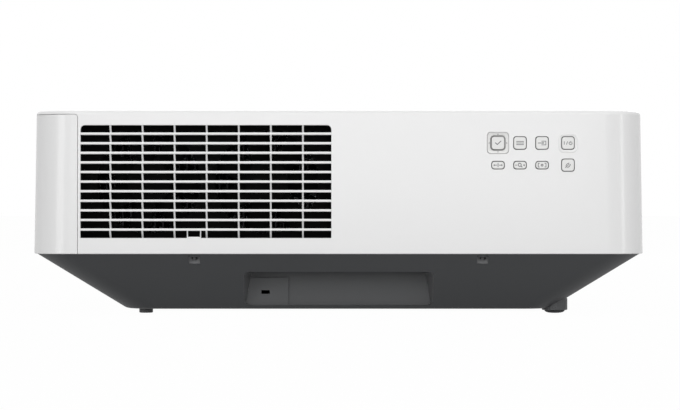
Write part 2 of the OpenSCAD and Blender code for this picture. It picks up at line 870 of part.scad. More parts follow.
module direction_pad() {
    color(white) on_rear() at_key(enter_at, 0) difference() {
        union() {
            translate([0, 0, pad_z0]) plate(pad_s, pad_s, pad_z1 - pad_z0, pad_r);
            translate([0, 0, pad_z0]) plate(pad_s + 2.4, pad_s + 2.4, 0.7, pad_r);
            for (a = [0, 180]) rotate([0, 0, a])
                block([lug_in, -1.4, pin_z - 1.2], [lug_out, 1.4, pad_z0 + 0.2]);
        }
        translate([0, 0, pad_z0 - 1]) plate(pad_hole, pad_hole, 8, key_r + 1);
        translate([0, 0, 49.5]) sphere(r = 50, $fn = 128);
        translate([-pad_s, 0, pin_z]) rotate([0, 90, 0]) cylinder(r = pin_r + hair, h = 2 * pad_s);
    }
}

module pad_gimbal() {
    color(black) on_rear() at_key(enter_at, 0) {
        translate([0, 0, ring_z0]) linear_extrude(1.4) difference() {
            square(2 * ring_out, center = true);
            square(2 * ring_in, center = true);
        }
        for (a = [0:90:270]) rotate([0, 0, a]) translate([ring_out - 0.4, 0, pin_z])
            rotate([0, 90, 0]) cylinder(r = pin_r, h = lug_out - ring_out + 0.4);
    }
}

module key_board() {
    face = -wall - board_face;
    color(board_green) on_rear() {
        translate([board_u, board_v, face - board_t]) difference() {
            plate(board_w, board_h, board_t, 2);
            for (x = [-1, 1], y = [-1, 1])
                translate([x * (board_w / 2 - 4), y * (board_h / 2 - 4), -1])
                    cylinder(r = 1.2, h = board_t + 2);
        }
        for (k = concat([enter_at], wall_keys)) at_key(k, 0) {
            block([-3, -2.6, face - eps], [3, 2.6, face + 2.4]);
            translate([0, 0, face + 2]) cylinder(r = 1.7, h = -wall - switch_top - face - 2);
        }
        at_key(enter_at, 0) for (a = [90, 270]) rotate([0, 0, a]) difference() {
            block([lug_in, -1.4, face - eps], [lug_out, 1.4, pin_z + 1.1]);
            translate([0, 0, pin_z]) rotate([0, 90, 0])
                cylinder(r = pin_r + hair, h = lug_out + 1);
        }
        translate([board_u + board_w / 2 - 8, board_v - 14, face - board_t - 5])
            cube([5, 24, 5 + eps]);
    }
}

// ---------- terminal bay ----------

bay_floor = -wall - bay_depth;
// Each socket: place along the bay, place up it, width, height
ac_at = [-80, -6, 27, 20];
hdmi_at = [[-42, -14, 15.4, 6.4], [-42, 2, 15.4, 6.4]];
lan_at = [[-8, -10, 16.4, 14.4], [14, -10, 16.4, 14.4]];
serial_at = [54, -12, 31, 12.6];
socket_depth = 12;

module at_bay(s, z) {
    on_right() translate([s[0], bay_v + s[1], z]) children();
}

module socket_holes(grow) {
    for (s = concat([ac_at, serial_at], hdmi_at, lan_at)) at_bay(s, bay_floor - bay_wall - 1)
        linear_extrude(bay_wall + 2) square([s[2] + grow, s[3] + grow], center = true);
}

module terminal_panel() {
    color(charcoal) difference() {
        union() {
            on_right() translate([0, bay_v, bay_floor - bay_wall])
                plate(bay_w + 2 * bay_wall, bay_h + 2 * bay_wall, bay_depth + bay_wall, 4);
            on_right() translate([0, bay_v, -wall]) plate(bay_w - 0.4, bay_h - 0.4, wall - 0.5, 2.8);
        }
        on_right() translate([0, bay_v, bay_floor])
            plate(bay_w - 2, bay_h - 2, bay_depth + wall + 1, 2);
        socket_holes(0);
    }
}

// A square-mouthed socket whose mouth is flush with the bay's floor.
module socket(s, depth, rim) {
    at_bay(s, bay_floor - depth) linear_extrude(depth) difference() {
        square([s[2] - 0.1, s[3] - 0.1], center = true);
        square([s[2] - 2 * rim, s[3] - 2 * rim], center = true);
    }
    at_bay(s, bay_floor - depth - 1) linear_extrude(1 + eps)
        square([s[2] - 0.1, s[3] - 0.1], center = true);
}

module ac_inlet() {
    color(black) {
        socket(ac_at, 17, 1.9);
        at_bay(ac_at, bay_floor - 17) for (u = [-7, 0, 7])
            translate([u, u == 0 ? 2.5 : -1.5, 0]) block([-0.9, -2, -eps], [0.9, 2, 14]);
    }
}

module hdmi_ports() {
    color(steel) for (s = hdmi_at) {
        socket(s, socket_depth, 0.8);
        at_bay(s, bay_floor - socket_depth) block([-5.5, -0.7, -eps], [5.5, 0.7, socket_depth - 2]);
    }
}

module network_ports() {
    color(steel) for (s = lan_at) {
        socket(s, socket_depth + 1, 1.4);
        at_bay(s, bay_floor - socket_depth - 1)
            block([-5, 3.4, -eps], [5, s[3] / 2 - 1, socket_depth - 1]);
    }
}

module serial_port() {
    pin_pitch = 2.77;
    color(steel) at_bay(serial_at, bay_floor - 6) {
        linear_extrude(6)
            square([serial_at[2] - 0.1, serial_at[3] - 0.1], center = true);
        translate([0, 0, 6 - eps]) linear_extrude(5.5) difference() {
            square([17, 8.4], center = true);
            square([15.8, 7.2], center = true);
        }
        for (i = [0:4]) translate([(i - 2) * pin_pitch, 1.4, 6 - eps]) cylinder(r = 0.5, h = 5);
        for (i = [0:3]) translate([(i - 1.5) * pin_pitch, -1.4, 6 - eps]) cylinder(r = 0.5, h = 5);
        for (x = [-12.5, 12.5]) translate([x, 0, 6 - eps]) tube(2.4, 1.4, 5);
    }
}

// ---------- lens ----------

lens_y = body_d / 2 - 141;   // front of the lens base's plate, less its thickness
base_t = 4;
v_rod_x = 84;
v_rod_y = lens_y + 10;
v_rod_r = 3;
v_rod_half = 51;
v_plate_half = 50;
h_rod_y = lens_y + 21;
h_rod_z = 44;
h_rod_r = 2.5;
h_rod_half = 78;
sleeve_half = 16;
carriage_half = 60;
seat_y = lens_y + 25;        // front of the sideways carriage
zoom_y = seat_y + 11;
focus_y = seat_y + 47;
ring_w = 18;
gear_w = 6;
ring_wall = 3;
cell_y = body_d / 2 - 33;
lens_front_y = body_d / 2 - 6;
motor_r = 6.5;
mesh_r = (ring_teeth + pinion_teeth) / 2 * gear_m;
barrel_bore = barrel_r - 5;

module lens_base() {
    z0 = chassis_z + chassis_t;
    color(alloy) difference() {
        union() {
            block([-92, lens_y, z0], [92, lens_y + base_t, z_lens + v_rod_half]);
            block([-92, lens_y, z0], [92, lens_y + 30, z0 + 4]);
            for (x = [-1, 1], z = [-v_rod_half, v_rod_half - 8])
                translate([x * v_rod_x, 0, z_lens + z])
                    block([-6, lens_y + base_t - 1, 0], [6, v_rod_y + 5, 8]);
        }
        along_y(0, lens_y - 1, z_lens) cylinder(r = 42, h = base_t + 2);
        for (x = [-1, 1]) translate([x * v_rod_x, v_rod_y, 0]) cylinder(r = v_rod_r + eps, h = z_top);
    }
}

module v_guide_rods() {
    color(steel) for (x = [-1, 1]) translate([x * v_rod_x, v_rod_y, z_lens - v_rod_half])
        cylinder(r = v_rod_r, h = 2 * v_rod_half);
}

module v_carriage() {
    color(alloy) difference() {
        union() {
            block([-h_rod_half, v_rod_y + 1, z_lens - v_plate_half],
                [h_rod_half, v_rod_y + 5, z_lens + v_plate_half]);
            block([-v_rod_x - 6, v_rod_y - 5, z_lens - sleeve_half],
                [v_rod_x + 6, v_rod_y + 5, z_lens + sleeve_half]);
            for (x = [-1, 1], z = [-1, 1]) translate([x * (h_rod_half - 4), 0, z_lens + z * h_rod_z])
                block([-4, v_rod_y + 4, -5], [4, h_rod_y + 4.5, 5]);
        }
        along_y(0, v_rod_y - 10, z_lens) cylinder(r = 40, h = 20);
        for (x = [-1, 1]) translate([x * v_rod_x, v_rod_y, 0])
            cylinder(r = v_rod_r + hair, h = z_top);
        for (z = [-1, 1]) translate([-h_rod_half, h_rod_y, z_lens + z * h_rod_z])
            rotate([0, 90, 0]) cylinder(r = h_rod_r + eps, h = 2 * h_rod_half);
    }
}

module h_guide_rods() {
    color(steel) for (z = [-1, 1])
        translate([-h_rod_half, h_rod_y, z_lens + z * h_rod_z]) rotate([0, 90, 0])
            cylinder(r = h_rod_r, h = 2 * h_rod_half);
}

module h_carriage() {
    color(charcoal) difference() {
        union() {
            block([-carriage_half, h_rod_y - 3, z_lens - 16], [carriage_half, seat_y, z_lens + 16]);
            block([-46, h_rod_y - 3.5, z_lens - 49], [46, seat_y, z_lens + 49]);
        }
        along_y(0, h_rod_y - 5, z_lens) cylinder(r = barrel_bore, h = 12);
        for (z = [-1, 1]) translate([-carriage_half, h_rod_y, z_lens + z * h_rod_z])
            rotate([0, 90, 0]) cylinder(r = h_rod_r + hair, h = 2 * carriage_half);
    }
}

module lens_barrel() {
    color(black) along_y(0, 0, z_lens) difference() {
        union() {
            translate([0, 0, seat_y]) cylinder(r = barrel_r + 5, h = 5);
            translate([0, 0, seat_y]) cylinder(r = barrel_r, h = lens_front_y - 10 - seat_y);
            translate([0, 0, cell_y - 6]) cylinder(r1 = barrel_r, r2 = cell_r, h = 6);
            translate([0, 0, cell_y]) cylinder(r = cell_r, h = lens_front_y - cell_y);
        }
        translate([0, 0, seat_y - 1]) cylinder(r = barrel_bore, h = body_d);
        translate([0, 0, cell_y + 6]) cylinder(r = cell_r - 3, h = body_d);
    }
}

module relay_lenses() {
    color(glass) for (y = [seat_y + 8, seat_y + 52, cell_y - 12]) along_y(0, y, z_lens)
        intersection() {
            cylinder(r = barrel_bore, h = 9);
            translate([0, 0, 9 - 110]) sphere(r = 110, $fn = 128);
        }
}

module front_lens() {
    color(glass) along_y(0, cell_y + 6, z_lens) intersection() {
        cylinder(r = cell_r - 3, h = 14);
        translate([0, 0, 14 - 95]) sphere(r = 95, $fn = 128);
    }
}

module gear(teeth, t) {
    rp = teeth * gear_m / 2;
    rr = rp - 1.25 * gear_m;
    rt = rp + gear_m;
    wr = 0.75 * gear_m / rr * 180 / PI;
    wt = 0.33 * gear_m / rt * 180 / PI;
    linear_extrude(t) polygon([for (i = [0:teeth - 1])
        let (a = 360 * i / teeth)
        each [rr * [cos(a - wr), sin(a - wr)], rt * [cos(a - wt), sin(a - wt)],
              rt * [cos(a + wt), sin(a + wt)], rr * [cos(a + wr), sin(a + wr)]]]);
}

module lens_ring(y) {
    color(charcoal) along_y(0, y, z_lens) difference() {
        union() {
            cylinder(r = barrel_r + ring_wall, h = ring_w);
            translate([0, 0, ring_w - gear_w]) gear(ring_teeth, gear_w);
        }
        translate([0, 0, -1]) cylinder(r = barrel_r + hair, h = ring_w + 2);
    }
}

// A lens motor stands on the sideways carriage, beside the barrel.
module lens_motor(side, y) {
    gear_y = y + ring_w - gear_w;
    color(steel) along_y(side * mesh_r, 0, z_lens) {
        translate([0, 0, seat_y]) cylinder(r = motor_r, h = gear_y - 3 - seat_y);
        translate([0, 0, gear_y - 4]) cylinder(r = 1.5, h = gear_w + 6);
    }
}

module lens_pinion(side, y) {
    color(brass) along_y(side * mesh_r, y + ring_w - gear_w, z_lens) difference() {
        rotate([0, 0, side > 0 && pinion_teeth % 2 == 1 ? 0 : 180 / pinion_teeth])
            gear(pinion_teeth, gear_w);
        translate([0, 0, -1]) cylinder(r = 1.5 + hair, h = gear_w + 2);
    }
}

module zoom_ring() { lens_ring(zoom_y); }
module focus_ring() { lens_ring(focus_y); }
module zoom_motor() { lens_motor(1, zoom_y); }
module focus_motor() { lens_motor(-1, focus_y); }
module zoom_pinion() { lens_pinion(1, zoom_y); }
module focus_pinion() { lens_pinion(-1, focus_y); }

module lens_bezel() {
    color(black) on_front() translate([0, lens_v, 0]) difference() {
        union() {
            translate([0, 0, -wall - bezel_lip]) cylinder(r = lens_hole_r + 2, h = bezel_lip);
            translate([0, 0, -wall - eps]) cylinder(r = lens_hole_r - 0.1, h = wall - 0.2);
        }
        translate([0, 0, -wall - 8]) cylinder(r = lens_hole_r - bezel_wall, h = wall + 10);
    }
}

module front_window() {
    color(black) on_front() translate([window_u, window_v, 0]) {
        translate([0, 0, -wall - 1.5]) stadium(window_w + 5, window_h + 5, 1.5);
        translate([0, 0, -wall - eps]) stadium(window_w - 0.2, window_h - 0.2, wall - 0.2);
    }
}

// ---------- light engine ----------

engine_y1 = lens_y - 4;
engine_y0 = engine_y1 - (body_d - 270);
engine_x0 = -60;
engine_x1 = 112;
engine_z0 = z_lens - 44;
engine_z1 = z_lens + 28;
engine_wall = 3;
deck_z = chassis_z + chassis_t;
wheel_at = [engine_x0 + engine_wall, engine_y0 + 50, z_lens - 8];
wheel_r = 28;
wheel_pin_r = 2;
laser_x0 = 40;
laser_x1 = 100;
laser_d = 25;
pipe_y = engine_y0 - 13;
pipe_r = 3;
sink_reach = 39;             // from the left fan's shaft to the heatsink's first fin
pipe_pitch = 20;
pipe_z = [for (i = [-1:1]) wheel_at[2] + 4 + i * pipe_pitch];

module engine_case() {
    color(alloy) difference() {
        union() {
            block([engine_x0, engine_y0, engine_z0], [engine_x1, engine_y1, engine_z1]);
            for (x = [engine_x0 + 8, engine_x1 - 8], y = [engine_y0 + 8, engine_y1 - 8])
                translate([x, y, deck_z]) cylinder(r = 6, h = engine_z0 - deck_z + eps);
        }
        block([engine_x0 + engine_wall, engine_y0 + engine_wall, engine_z0 + engine_wall],
            [engine_x1 - engine_wall, engine_y1 - engine_wall, engine_z1 + 1]);
        along_y(0, engine_y1 - 10, z_lens) cylinder(r = 22, h = 20);
        block([laser_x0 + 6, engine_y0 - 1, z_lens - 26],
            [laser_x1 - 6, engine_y0 + engine_wall + 1, z_lens + 22]);
    }
}

module engine_cover() {
    color(steel) difference() {
        union() {
            block([engine_x0, engine_y0, engine_z1], [engine_x1, engine_y1, engine_z1 + 2]);
            for (x = [engine_x0 + 12, engine_x1 - 12], y = [engine_y0 + 12, engine_y1 - 12])
                translate([x, y, engine_z1 + 1]) cylinder(r = 3, h = 9);
        }
        for (i = [0:4]) translate([20 + i * 9, engine_y1 - 60, engine_z1 - 1])
            cube([4, 36, 4]);
    }
}

module prism_block() {
    half = 15;
    yc = engine_y1 - 24;
    color(glass) {
        block([-half, yc - half, z_lens - half], [half, yc + half, z_lens + half]);
        block([-half - 4, yc - 12, z_lens - 11], [-half - 2, yc + 12, z_lens + 11]);
        block([half + 2, yc - 12, z_lens - 11], [half + 4, yc + 12, z_lens + 11]);
        block([-12, yc - half - 4, z_lens - 11], [12, yc - half - 2, z_lens + 11]);
        block([-half - 5, yc - half - 5, z_lens - half - 4], [half + 5, yc + half, z_lens - half + eps]);
        for (x = [-half - 4, half + 2]) block([x, yc - 12, z_lens - half - 1], [x + 2, yc + 12, z_lens - 10]);
        block([-12, yc - half - 4, z_lens - half - 1], [12, yc - half - 2, z_lens - 10]);
        block([-10, yc - 10, engine_z0 + engine_wall], [10, yc + 10, z_lens - half - 3]);
    }
}

module laser_bank() {
    color(alloy) difference() {
        union() {
            block([laser_x0, engine_y0 - laser_d, z_lens - 34], [laser_x1, engine_y0, z_lens + 26]);
            for (x = [0:3], z = [0:2])
                along_y(laser_x0 + 12 + x * 12, engine_y0 - 1, z_lens - 18 + z * 16)
                    cylinder(r = 4.5, h = 9);
        }
        for (z = pipe_z) translate([laser_x0 - 1, pipe_y, z]) rotate([0, 90, 0])
            cylinder(r = pipe_r + eps, h = laser_x1 - laser_x0 - 3);
    }
}

module wheel_motor() {
    color(steel) translate(wheel_at) rotate([0, 90, 0]) {
        cylinder(r = 13, h = 18);
        cylinder(r = wheel_pin_r, h = 28);
    }
}

module phosphor_wheel() {
    color(alloy) translate(wheel_at) rotate([0, 90, 0]) difference() {
        union() {
            translate([0, 0, 22]) cylinder(r = wheel_r, h = 1.5);
            translate([0, 0, 20]) cylinder(r = 7, h = 6);
            for (a = [0:60:300]) rotate([0, 0, a]) translate([14, 0, 23]) cylinder(r = 2, h = 1.4);
        }
        translate([0, 0, 18]) cylinder(r = wheel_pin_r + hair, h = 10);
    }
}

module heatsink() {
    x0 = fan_x[0] - sink_reach;
    fins = 26;
    pitch = 6.8;
    color(alloy) {
        block([x0, engine_y0 - 55, deck_z], [x0 + (fins - 1) * pitch + 1.4, engine_y0 - 8, deck_z + 8]);
        for (i = [0:fins - 1])
            block([x0 + i * pitch, engine_y0 - 55, deck_z + 7],
                [x0 + i * pitch + 1.4, engine_y0 - 8, z_lens + 40]);
        for (z = pipe_z) translate([x0 + 2, pipe_y, z]) rotate([0, 90, 0])
            cylinder(r = pipe_r, h = laser_x1 - 6 - x0);
    }
}

module power_supply() {
    x0 = -200;
    x1 = -104;
    y0 = engine_y0 + 32;
    y1 = chassis_y;
    zb = deck_z + 6;
    color(board_green) {
        block([x0, y0, zb], [x1, y1, zb + 1.6]);
        for (x = [6 - chassis_x, x1 - 4], y = [y0 + 6, y1 - 6])
            translate([x, y, deck_z]) cylinder(r = 3, h = 6 + eps);
        block([x0 + 12, y0 + 14, zb + 1], [x0 + 50, y0 + 50, zb + 30]);
        block([x0 + 60, y0 + 20, zb + 1], [x0 + 64, y0 + 90, zb + 32]);
        block([x0 + 14, y0 + 70, zb + 1], [x0 + 46, y0 + 100, zb + 26]);
        for (y = [20:22:64]) translate([x0 + 22, y1 - y, zb + 1]) cylinder(r = 9, h = 34);
        for (y = [18:14:74]) translate([x0 + 74, y1 - y, zb + 1]) cylinder(r = 5, h = 22);
    }
}

module circuit_boards() {
    zm = engine_z1 + 10;
    color(board_green) {
        block([engine_x0 + 2, engine_y0 + 2, zm], [engine_x1 - 2, engine_y1 - 2, zm + 1.6]);
        block([-30, engine_y0 + 30, zm + 1], [4, engine_y0 + 64, zm + 5]);
        block([30, engine_y0 + 24, zm + 1], [52, engine_y0 + 40, zm + 3.4]);
        block([60, engine_y0 + 60, zm + 1], [88, engine_y0 + 88, zm + 4]);
        for (i = [0:4])
            block([14 + i * 16, engine_y1 - 32, zm + 1], [24 + i * 16, engine_y1 - 18, zm + 2.4]);
        on_right() translate([0, bay_v - 2, bay_floor - 22]) {
            linear_extrude(1.6) square([190, 62], center = true);
            for (x = [-88, 88], y = [-1, 1])
                translate([x, y * 26 + 2, 1]) cylinder(r = 2.5, h = 21 - bay_wall);
            translate([20, 14, -3]) cube([26, 14, 4]);
            translate([-50, 10, -5]) cube([30, 16, 6]);
        }
    }
}

module chassis() {
    color(steel) difference() {
        block([-chassis_x, -chassis_y, chassis_z], [chassis_x, chassis_y, chassis_z + chassis_t]);
        translate([front_foot_at[0], front_foot_at[1], 0]) cylinder(r = foot_boss_r + 2, h = z_split);
        for (x = [-1, 1], y = [-1, 1]) translate([x * 70, y * 50, chassis_z - 1]) cylinder(r = 14, h = 5);
    }
}

top_cabinet();
bottom_pan();
exhaust_grille();
exhaust_duct();
fan_frames();
fan_rotor_left();
fan_rotor_right();
side_cover();
filter_cartridge();
key_enter();
key_menu();
key_input();
key_power();
key_shift();
key_zoom();
key_focus();
key_eco();
direction_pad();
pad_gimbal();
key_board();
terminal_panel();
circuit_boards();
ac_inlet();
hdmi_ports();
network_ports();
serial_port();
lens_bezel();
front_window();
lens_base();
v_guide_rods();
v_carriage();
h_guide_rods();
h_carriage();
lens_barrel();
relay_lenses();
zoom_ring();
focus_ring();
front_lens();
zoom_motor();
focus_motor();
zoom_pinion();
focus_pinion();
engine_case();
engine_cover();
prism_block();
laser_bank();
wheel_motor();
phosphor_wheel();
heatsink();
power_supply();
chassis();
lock_plate();
mount_inserts();
foot_nuts();
fixed_foot();
rear_foot_pad();
rear_foot_stud();
front_foot_pad();
front_foot_stud();
cabinet_screws();
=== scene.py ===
# An installation projector seen from the rear: white cabinet, dark sloped pan.
# Lengths are millimetres unless a comment says metres; objects are made in metres.
# U and V are places on a wall: across from its middle, and up it from the cabinet's lower edge.
import json
import math

import bmesh
import bpy
from mathutils import Matrix, Vector


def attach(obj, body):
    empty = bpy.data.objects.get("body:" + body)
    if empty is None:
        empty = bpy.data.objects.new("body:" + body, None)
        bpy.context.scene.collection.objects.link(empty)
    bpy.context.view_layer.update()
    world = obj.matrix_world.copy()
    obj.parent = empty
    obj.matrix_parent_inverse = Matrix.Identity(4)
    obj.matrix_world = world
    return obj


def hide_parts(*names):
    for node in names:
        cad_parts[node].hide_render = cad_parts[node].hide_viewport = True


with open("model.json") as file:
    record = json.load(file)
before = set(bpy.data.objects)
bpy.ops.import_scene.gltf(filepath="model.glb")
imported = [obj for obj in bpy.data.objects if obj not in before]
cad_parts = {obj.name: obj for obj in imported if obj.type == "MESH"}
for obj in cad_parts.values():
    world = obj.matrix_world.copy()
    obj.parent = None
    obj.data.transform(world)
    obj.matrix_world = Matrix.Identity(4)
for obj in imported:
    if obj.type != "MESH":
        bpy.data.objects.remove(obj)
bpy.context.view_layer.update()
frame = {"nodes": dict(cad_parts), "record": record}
NODES = frame["nodes"]

MM = 0.001

# Cabinet and pan; "split" is the level where they meet.
BODY_W, BODY_D = 505.0, 406.0
FOOT_GAP, PAN_H, SHELL_H = 4.0, 46.5, 117.5
Z_BASE = FOOT_GAP
Z_SPLIT = FOOT_GAP + PAN_H
Z_TOP = Z_SPLIT + SHELL_H
DRAFT, CORNER_R, EDGE_R, HEM_R, WALL = 1.8, 32.0, 3.0, 0.8, 3.0
FLANGE_W, FLANGE_T = 14.0, 3.0
LEAN = math.atan(DRAFT / SHELL_H)

# Pan, with hand hold, lock, screw pockets and feet.
PAN_INSET, SIDE_RUN, END_RUN, PAN_WALL = 2.5, 71.6, 39.5, 2.5
PAN_HX0 = BODY_W / 2 - PAN_INSET - SIDE_RUN          # half width of the pan's base
PAN_HY0 = BODY_D / 2 - PAN_INSET - END_RUN           # half depth of the pan's base
HOLD_W, HOLD_Z0, HOLD_Z1 = 157.0, Z_BASE + 3, Z_BASE + 31.5
HOLD_BACK = -PAN_HY0 + 4.5
LOCK_BLOCK_T = 2.0
LOCK_X1 = -HOLD_W / 2 + 36.5
SCREW_X, SCREW_Y, SCREW_INSET = 118.4, 140.0, 9.0
SCREW_BORE_R, SCREW_BORE_H, SCREW_BOSS_R, SCREW_BOSS_H = 1.55, 10.0, 3.8, 10.5
NOTCH_W, NOTCH_DROP, NOTCH_LIP = 9.2, 8.2, 5.0       # screw pockets, down from the rim's top
PAN_RIM = 2.6                                        # thickness of the pan's rim
LOCK_SLOT_W, LOCK_SLOT_H = 7.0, 3.0
LOCK_SLOT_X, LOCK_SLOT_Z = LOCK_X1 - 19, HOLD_Z0 + 11
PAN_CORNER_R = 25.0                                  # at the base, growing by 3 to the top
MOUNT_X, MOUNT_Y = 100.0, 90.0                       # half of the ceiling mount's pattern
MOUNT_INSERT_R, MOUNT_BOSS_R, MOUNT_BOSS_TOP = 4.0, 7.0, 17.0
CHASSIS_BOSS_R, CHASSIS_BOSS_TOP = 4.0, 22.0
CHASSIS_BOSS_X, CHASSIS_BOSS_Y = PAN_HX0 - 25, PAN_HY0 - 33
FIXED_FOOT = (-PAN_HX0 + 16.2, -PAN_HY0 + 23)
REAR_FOOT = (PAN_HX0 + 3.4, -PAN_HY0 + 18.5)
FRONT_FOOT = (0.0, PAN_HY0 - 26)
FOOT_STEM_R, FIXED_STEM_R = 4.0, 3.0

# Side cover and its filter, lens opening, remote window and terminal bay.
COVER_WRAP, COVER_FRONT, COVER_LIP, SEAM, COVER_CORNER_R = 38.5, 150.0, 2.6, 0.4, 2.5
FILTER_W, FILTER_H, FILTER_V = 192.0, 74.0, 59.0
LOUVRE_W, LOUVRE_H, LOUVRE_PITCH, LOUVRE_ROWS = 58.0, 4.0, 62.0, 9
LENS_V, LENS_HOLE_R = 58.5, 52.4
WINDOW_U, WINDOW_V, WINDOW_W, WINDOW_H = 104.0, 62.0, 34.0, 12.0
BAY_V, BAY_W, BAY_H, BAY_R = 34.0, 214.0, 54.0, 3.0

# Exhaust grille: level slats and leaning ribs.
GRILLE_W, GRILLE_H, GRILLE_CORNER_R = 205.6, 92.5, 3.6
GRILLE_U = -BODY_W / 2 + COVER_WRAP + 2.5 + GRILLE_W / 2
GRILLE_V = 13.15 + GRILLE_H / 2
ROWS, COLUMNS, SLAT, SLAT_D = 12, 8, 1.9, 9.0
RIB, RIB_PITCH, RIB_SHIFT, RIB_D, RIB_SET = 1.4, 26.33, 0.5, 2.5, 6.5
FRAME_D, FRAME_GAP = 11.0, 1.6
CELL = (GRILLE_H - (ROWS - 1) * SLAT) / ROWS         # height of one opening between slats
CATCH_U, CATCH_W = 9.8, 10.8

# Key panel.
KEY_U, KEY_V, KEY_PITCH, KEY_ROW = 130.7, 91.0, 18.05, 18.15
KEY_S, ENTER_S, LENS_KEY_H = 9.8, 10.2, 5.7
KEY_R, KEY_GAP, KEY_PROUD, KEY_FLANGE, KEY_STEM_R = 2.1, 0.6, 0.5, 1.2, 1.5
POWER_U = KEY_U + 3 * KEY_PITCH + 3.2
BOARD_U, BOARD_V = KEY_U + 29.3, KEY_V - 9
POST_REACH_U, POST_REACH_V, POST_R = 43.0, 19.0, 3.0 # key board posts from the board's middle
PAD_S, PAD_GAP, PAD_HOLE, PAD_HOLE_R = 17.2, 0.3, 12.4, 3.1
PAD_WELL_R = 3.0
KEY_FIELD = (110.0, 215.0, 60.0, 110.0)              # limits of the key panel, across and up
GUARD_W, GUARD_T = 15.8, 0.4                         # low rim round the power key
KEYS = {                                             # middle of the key, width, height
    "key_enter": (KEY_U, KEY_V, ENTER_S, ENTER_S),
    "key_menu": (KEY_U + KEY_PITCH, KEY_V, KEY_S, KEY_S),
    "key_input": (KEY_U + 2 * KEY_PITCH, KEY_V, KEY_S, KEY_S),
    "key_power": (POWER_U, KEY_V, KEY_S, KEY_S),
    "key_shift": (KEY_U, KEY_V - KEY_ROW, KEY_S, LENS_KEY_H),
    "key_zoom": (KEY_U + KEY_PITCH, KEY_V - KEY_ROW, KEY_S, LENS_KEY_H),
    "key_focus": (KEY_U + 2 * KEY_PITCH, KEY_V - KEY_ROW, KEY_S, LENS_KEY_H),
    "key_eco": (POWER_U, KEY_V - KEY_ROW, KEY_S, KEY_S - 0.3),
}

# ---------------------------------------------------------------- camera and stage

PX_PER_MM = 1.221            # at the rear face, in the photograph
PICTURE_W, SENSOR_W = 680.0, 36.0
CAMERA_X, CAMERA_Z, CAMERA_DISTANCE = 1.23, 90.7, 2200.0
WORLD_FILL = 0.46            # the world's light on rough surfaces
FLOOR_TONE, FLOOR_GLOW_SHARE = 0.55, 0.985

scene = bpy.context.scene
cam_data = bpy.data.cameras.new("camera")
cam_data.sensor_width = SENSOR_W
cam_data.lens = PX_PER_MM * CAMERA_DISTANCE / PICTURE_W * SENSOR_W
cam_data.clip_end = 60.0
camera = bpy.data.objects.new("camera", cam_data)
camera.location = (CAMERA_X * MM, (-BODY_D / 2 - CAMERA_DISTANCE) * MM, CAMERA_Z * MM)
camera.rotation_euler = (math.pi / 2, 0, 0)
scene.collection.objects.link(camera)
scene.camera = camera
scene.view_settings.view_transform = "Standard"


def empty_nodes(owner):
    """The cleared nodes and links of a material or world."""
    owner.use_nodes = True
    owner.node_tree.nodes.clear()
    return owner.node_tree.nodes, owner.node_tree.links


def seen_directly(nodes, links):
    """1 where a ray comes from the camera or off gloss or glass, else 0."""
    path = nodes.new("ShaderNodeLightPath")
    seen = path.outputs["Is Camera Ray"]
    for kind in ("Is Glossy Ray", "Is Transmission Ray"):
        either = nodes.new("ShaderNodeMath")
        either.operation = "MAXIMUM"
        links.new(seen, either.inputs[0])
        links.new(path.outputs[kind], either.inputs[1])
        seen = either.outputs[0]
    return seen


def mix_by_sight(nodes, links, share, unseen, seen, output):
    """Shows one shader to direct and glossy rays, by a share, and the other to the rest."""
    part = nodes.new("ShaderNodeMath")
    part.operation = "MULTIPLY"
    part.inputs[1].default_value = share
    mix = nodes.new("ShaderNodeMixShader")
    links.new(seen_directly(nodes, links), part.inputs[0])
    links.new(part.outputs[0], mix.inputs[0])
    links.new(unseen.outputs[0], mix.inputs[1])
    links.new(seen.outputs[0], mix.inputs[2])
    links.new(mix.outputs[0], output.inputs[0])


def make_world():
    """White to the camera and in reflections, a weaker fill on rough surfaces."""
    world = bpy.data.worlds.new("studio")
    scene.world = world
    nodes, links = empty_nodes(world)
    out = nodes.new("ShaderNodeOutputWorld")
    fill = nodes.new("ShaderNodeBackground")
    fill.inputs["Color"].default_value = (1, 1, 1, 1)
    fill.inputs["Strength"].default_value = WORLD_FILL
    back = nodes.new("ShaderNodeBackground")
    back.inputs["Color"].default_value = (1, 1, 1, 1)
    back.inputs["Strength"].default_value = 1.0
    mix_by_sight(nodes, links, 1.0, fill, back, out)


def make_floor():
    """A pale floor that shows almost white and keeps a faint shadow."""
    bm = bmesh.new()
    bmesh.ops.create_grid(bm, x_segments=1, y_segments=1, size=20)
    mesh = bpy.data.meshes.new("floor")
    bm.to_mesh(mesh)
    bm.free()
    floor = bpy.data.objects.new("floor", mesh)
    scene.collection.objects.link(floor)
    mat = bpy.data.materials.new("floor")
    nodes, links = empty_nodes(mat)
    out = nodes.new("ShaderNodeOutputMaterial")
    diffuse = nodes.new("ShaderNodeBsdfDiffuse")
    diffuse.inputs["Color"].default_value = (FLOOR_TONE, FLOOR_TONE, FLOOR_TONE, 1)
    glow = nodes.new("ShaderNodeEmission")
    glow.inputs["Color"].default_value = (1, 1, 1, 1)
    glow.inputs["Strength"].default_value = 1.0
    mix_by_sight(nodes, links, FLOOR_GLOW_SHARE, diffuse, glow, out)
    mesh.materials.append(mat)


def lamp(name, place, target, size, watts):
    """A rectangular lamp at a place, turned to a target; metres."""
    data = bpy.data.lights.new(name, "AREA")
    data.shape = "RECTANGLE"
    data.size, data.size_y = size
    data.energy = watts
    obj = bpy.data.objects.new(name, data)
    obj.location = place
    obj.rotation_euler = (Vector(target) - Vector(place)).to_track_quat("-Z", "Y").to_euler()
    scene.collection.objects.link(obj)


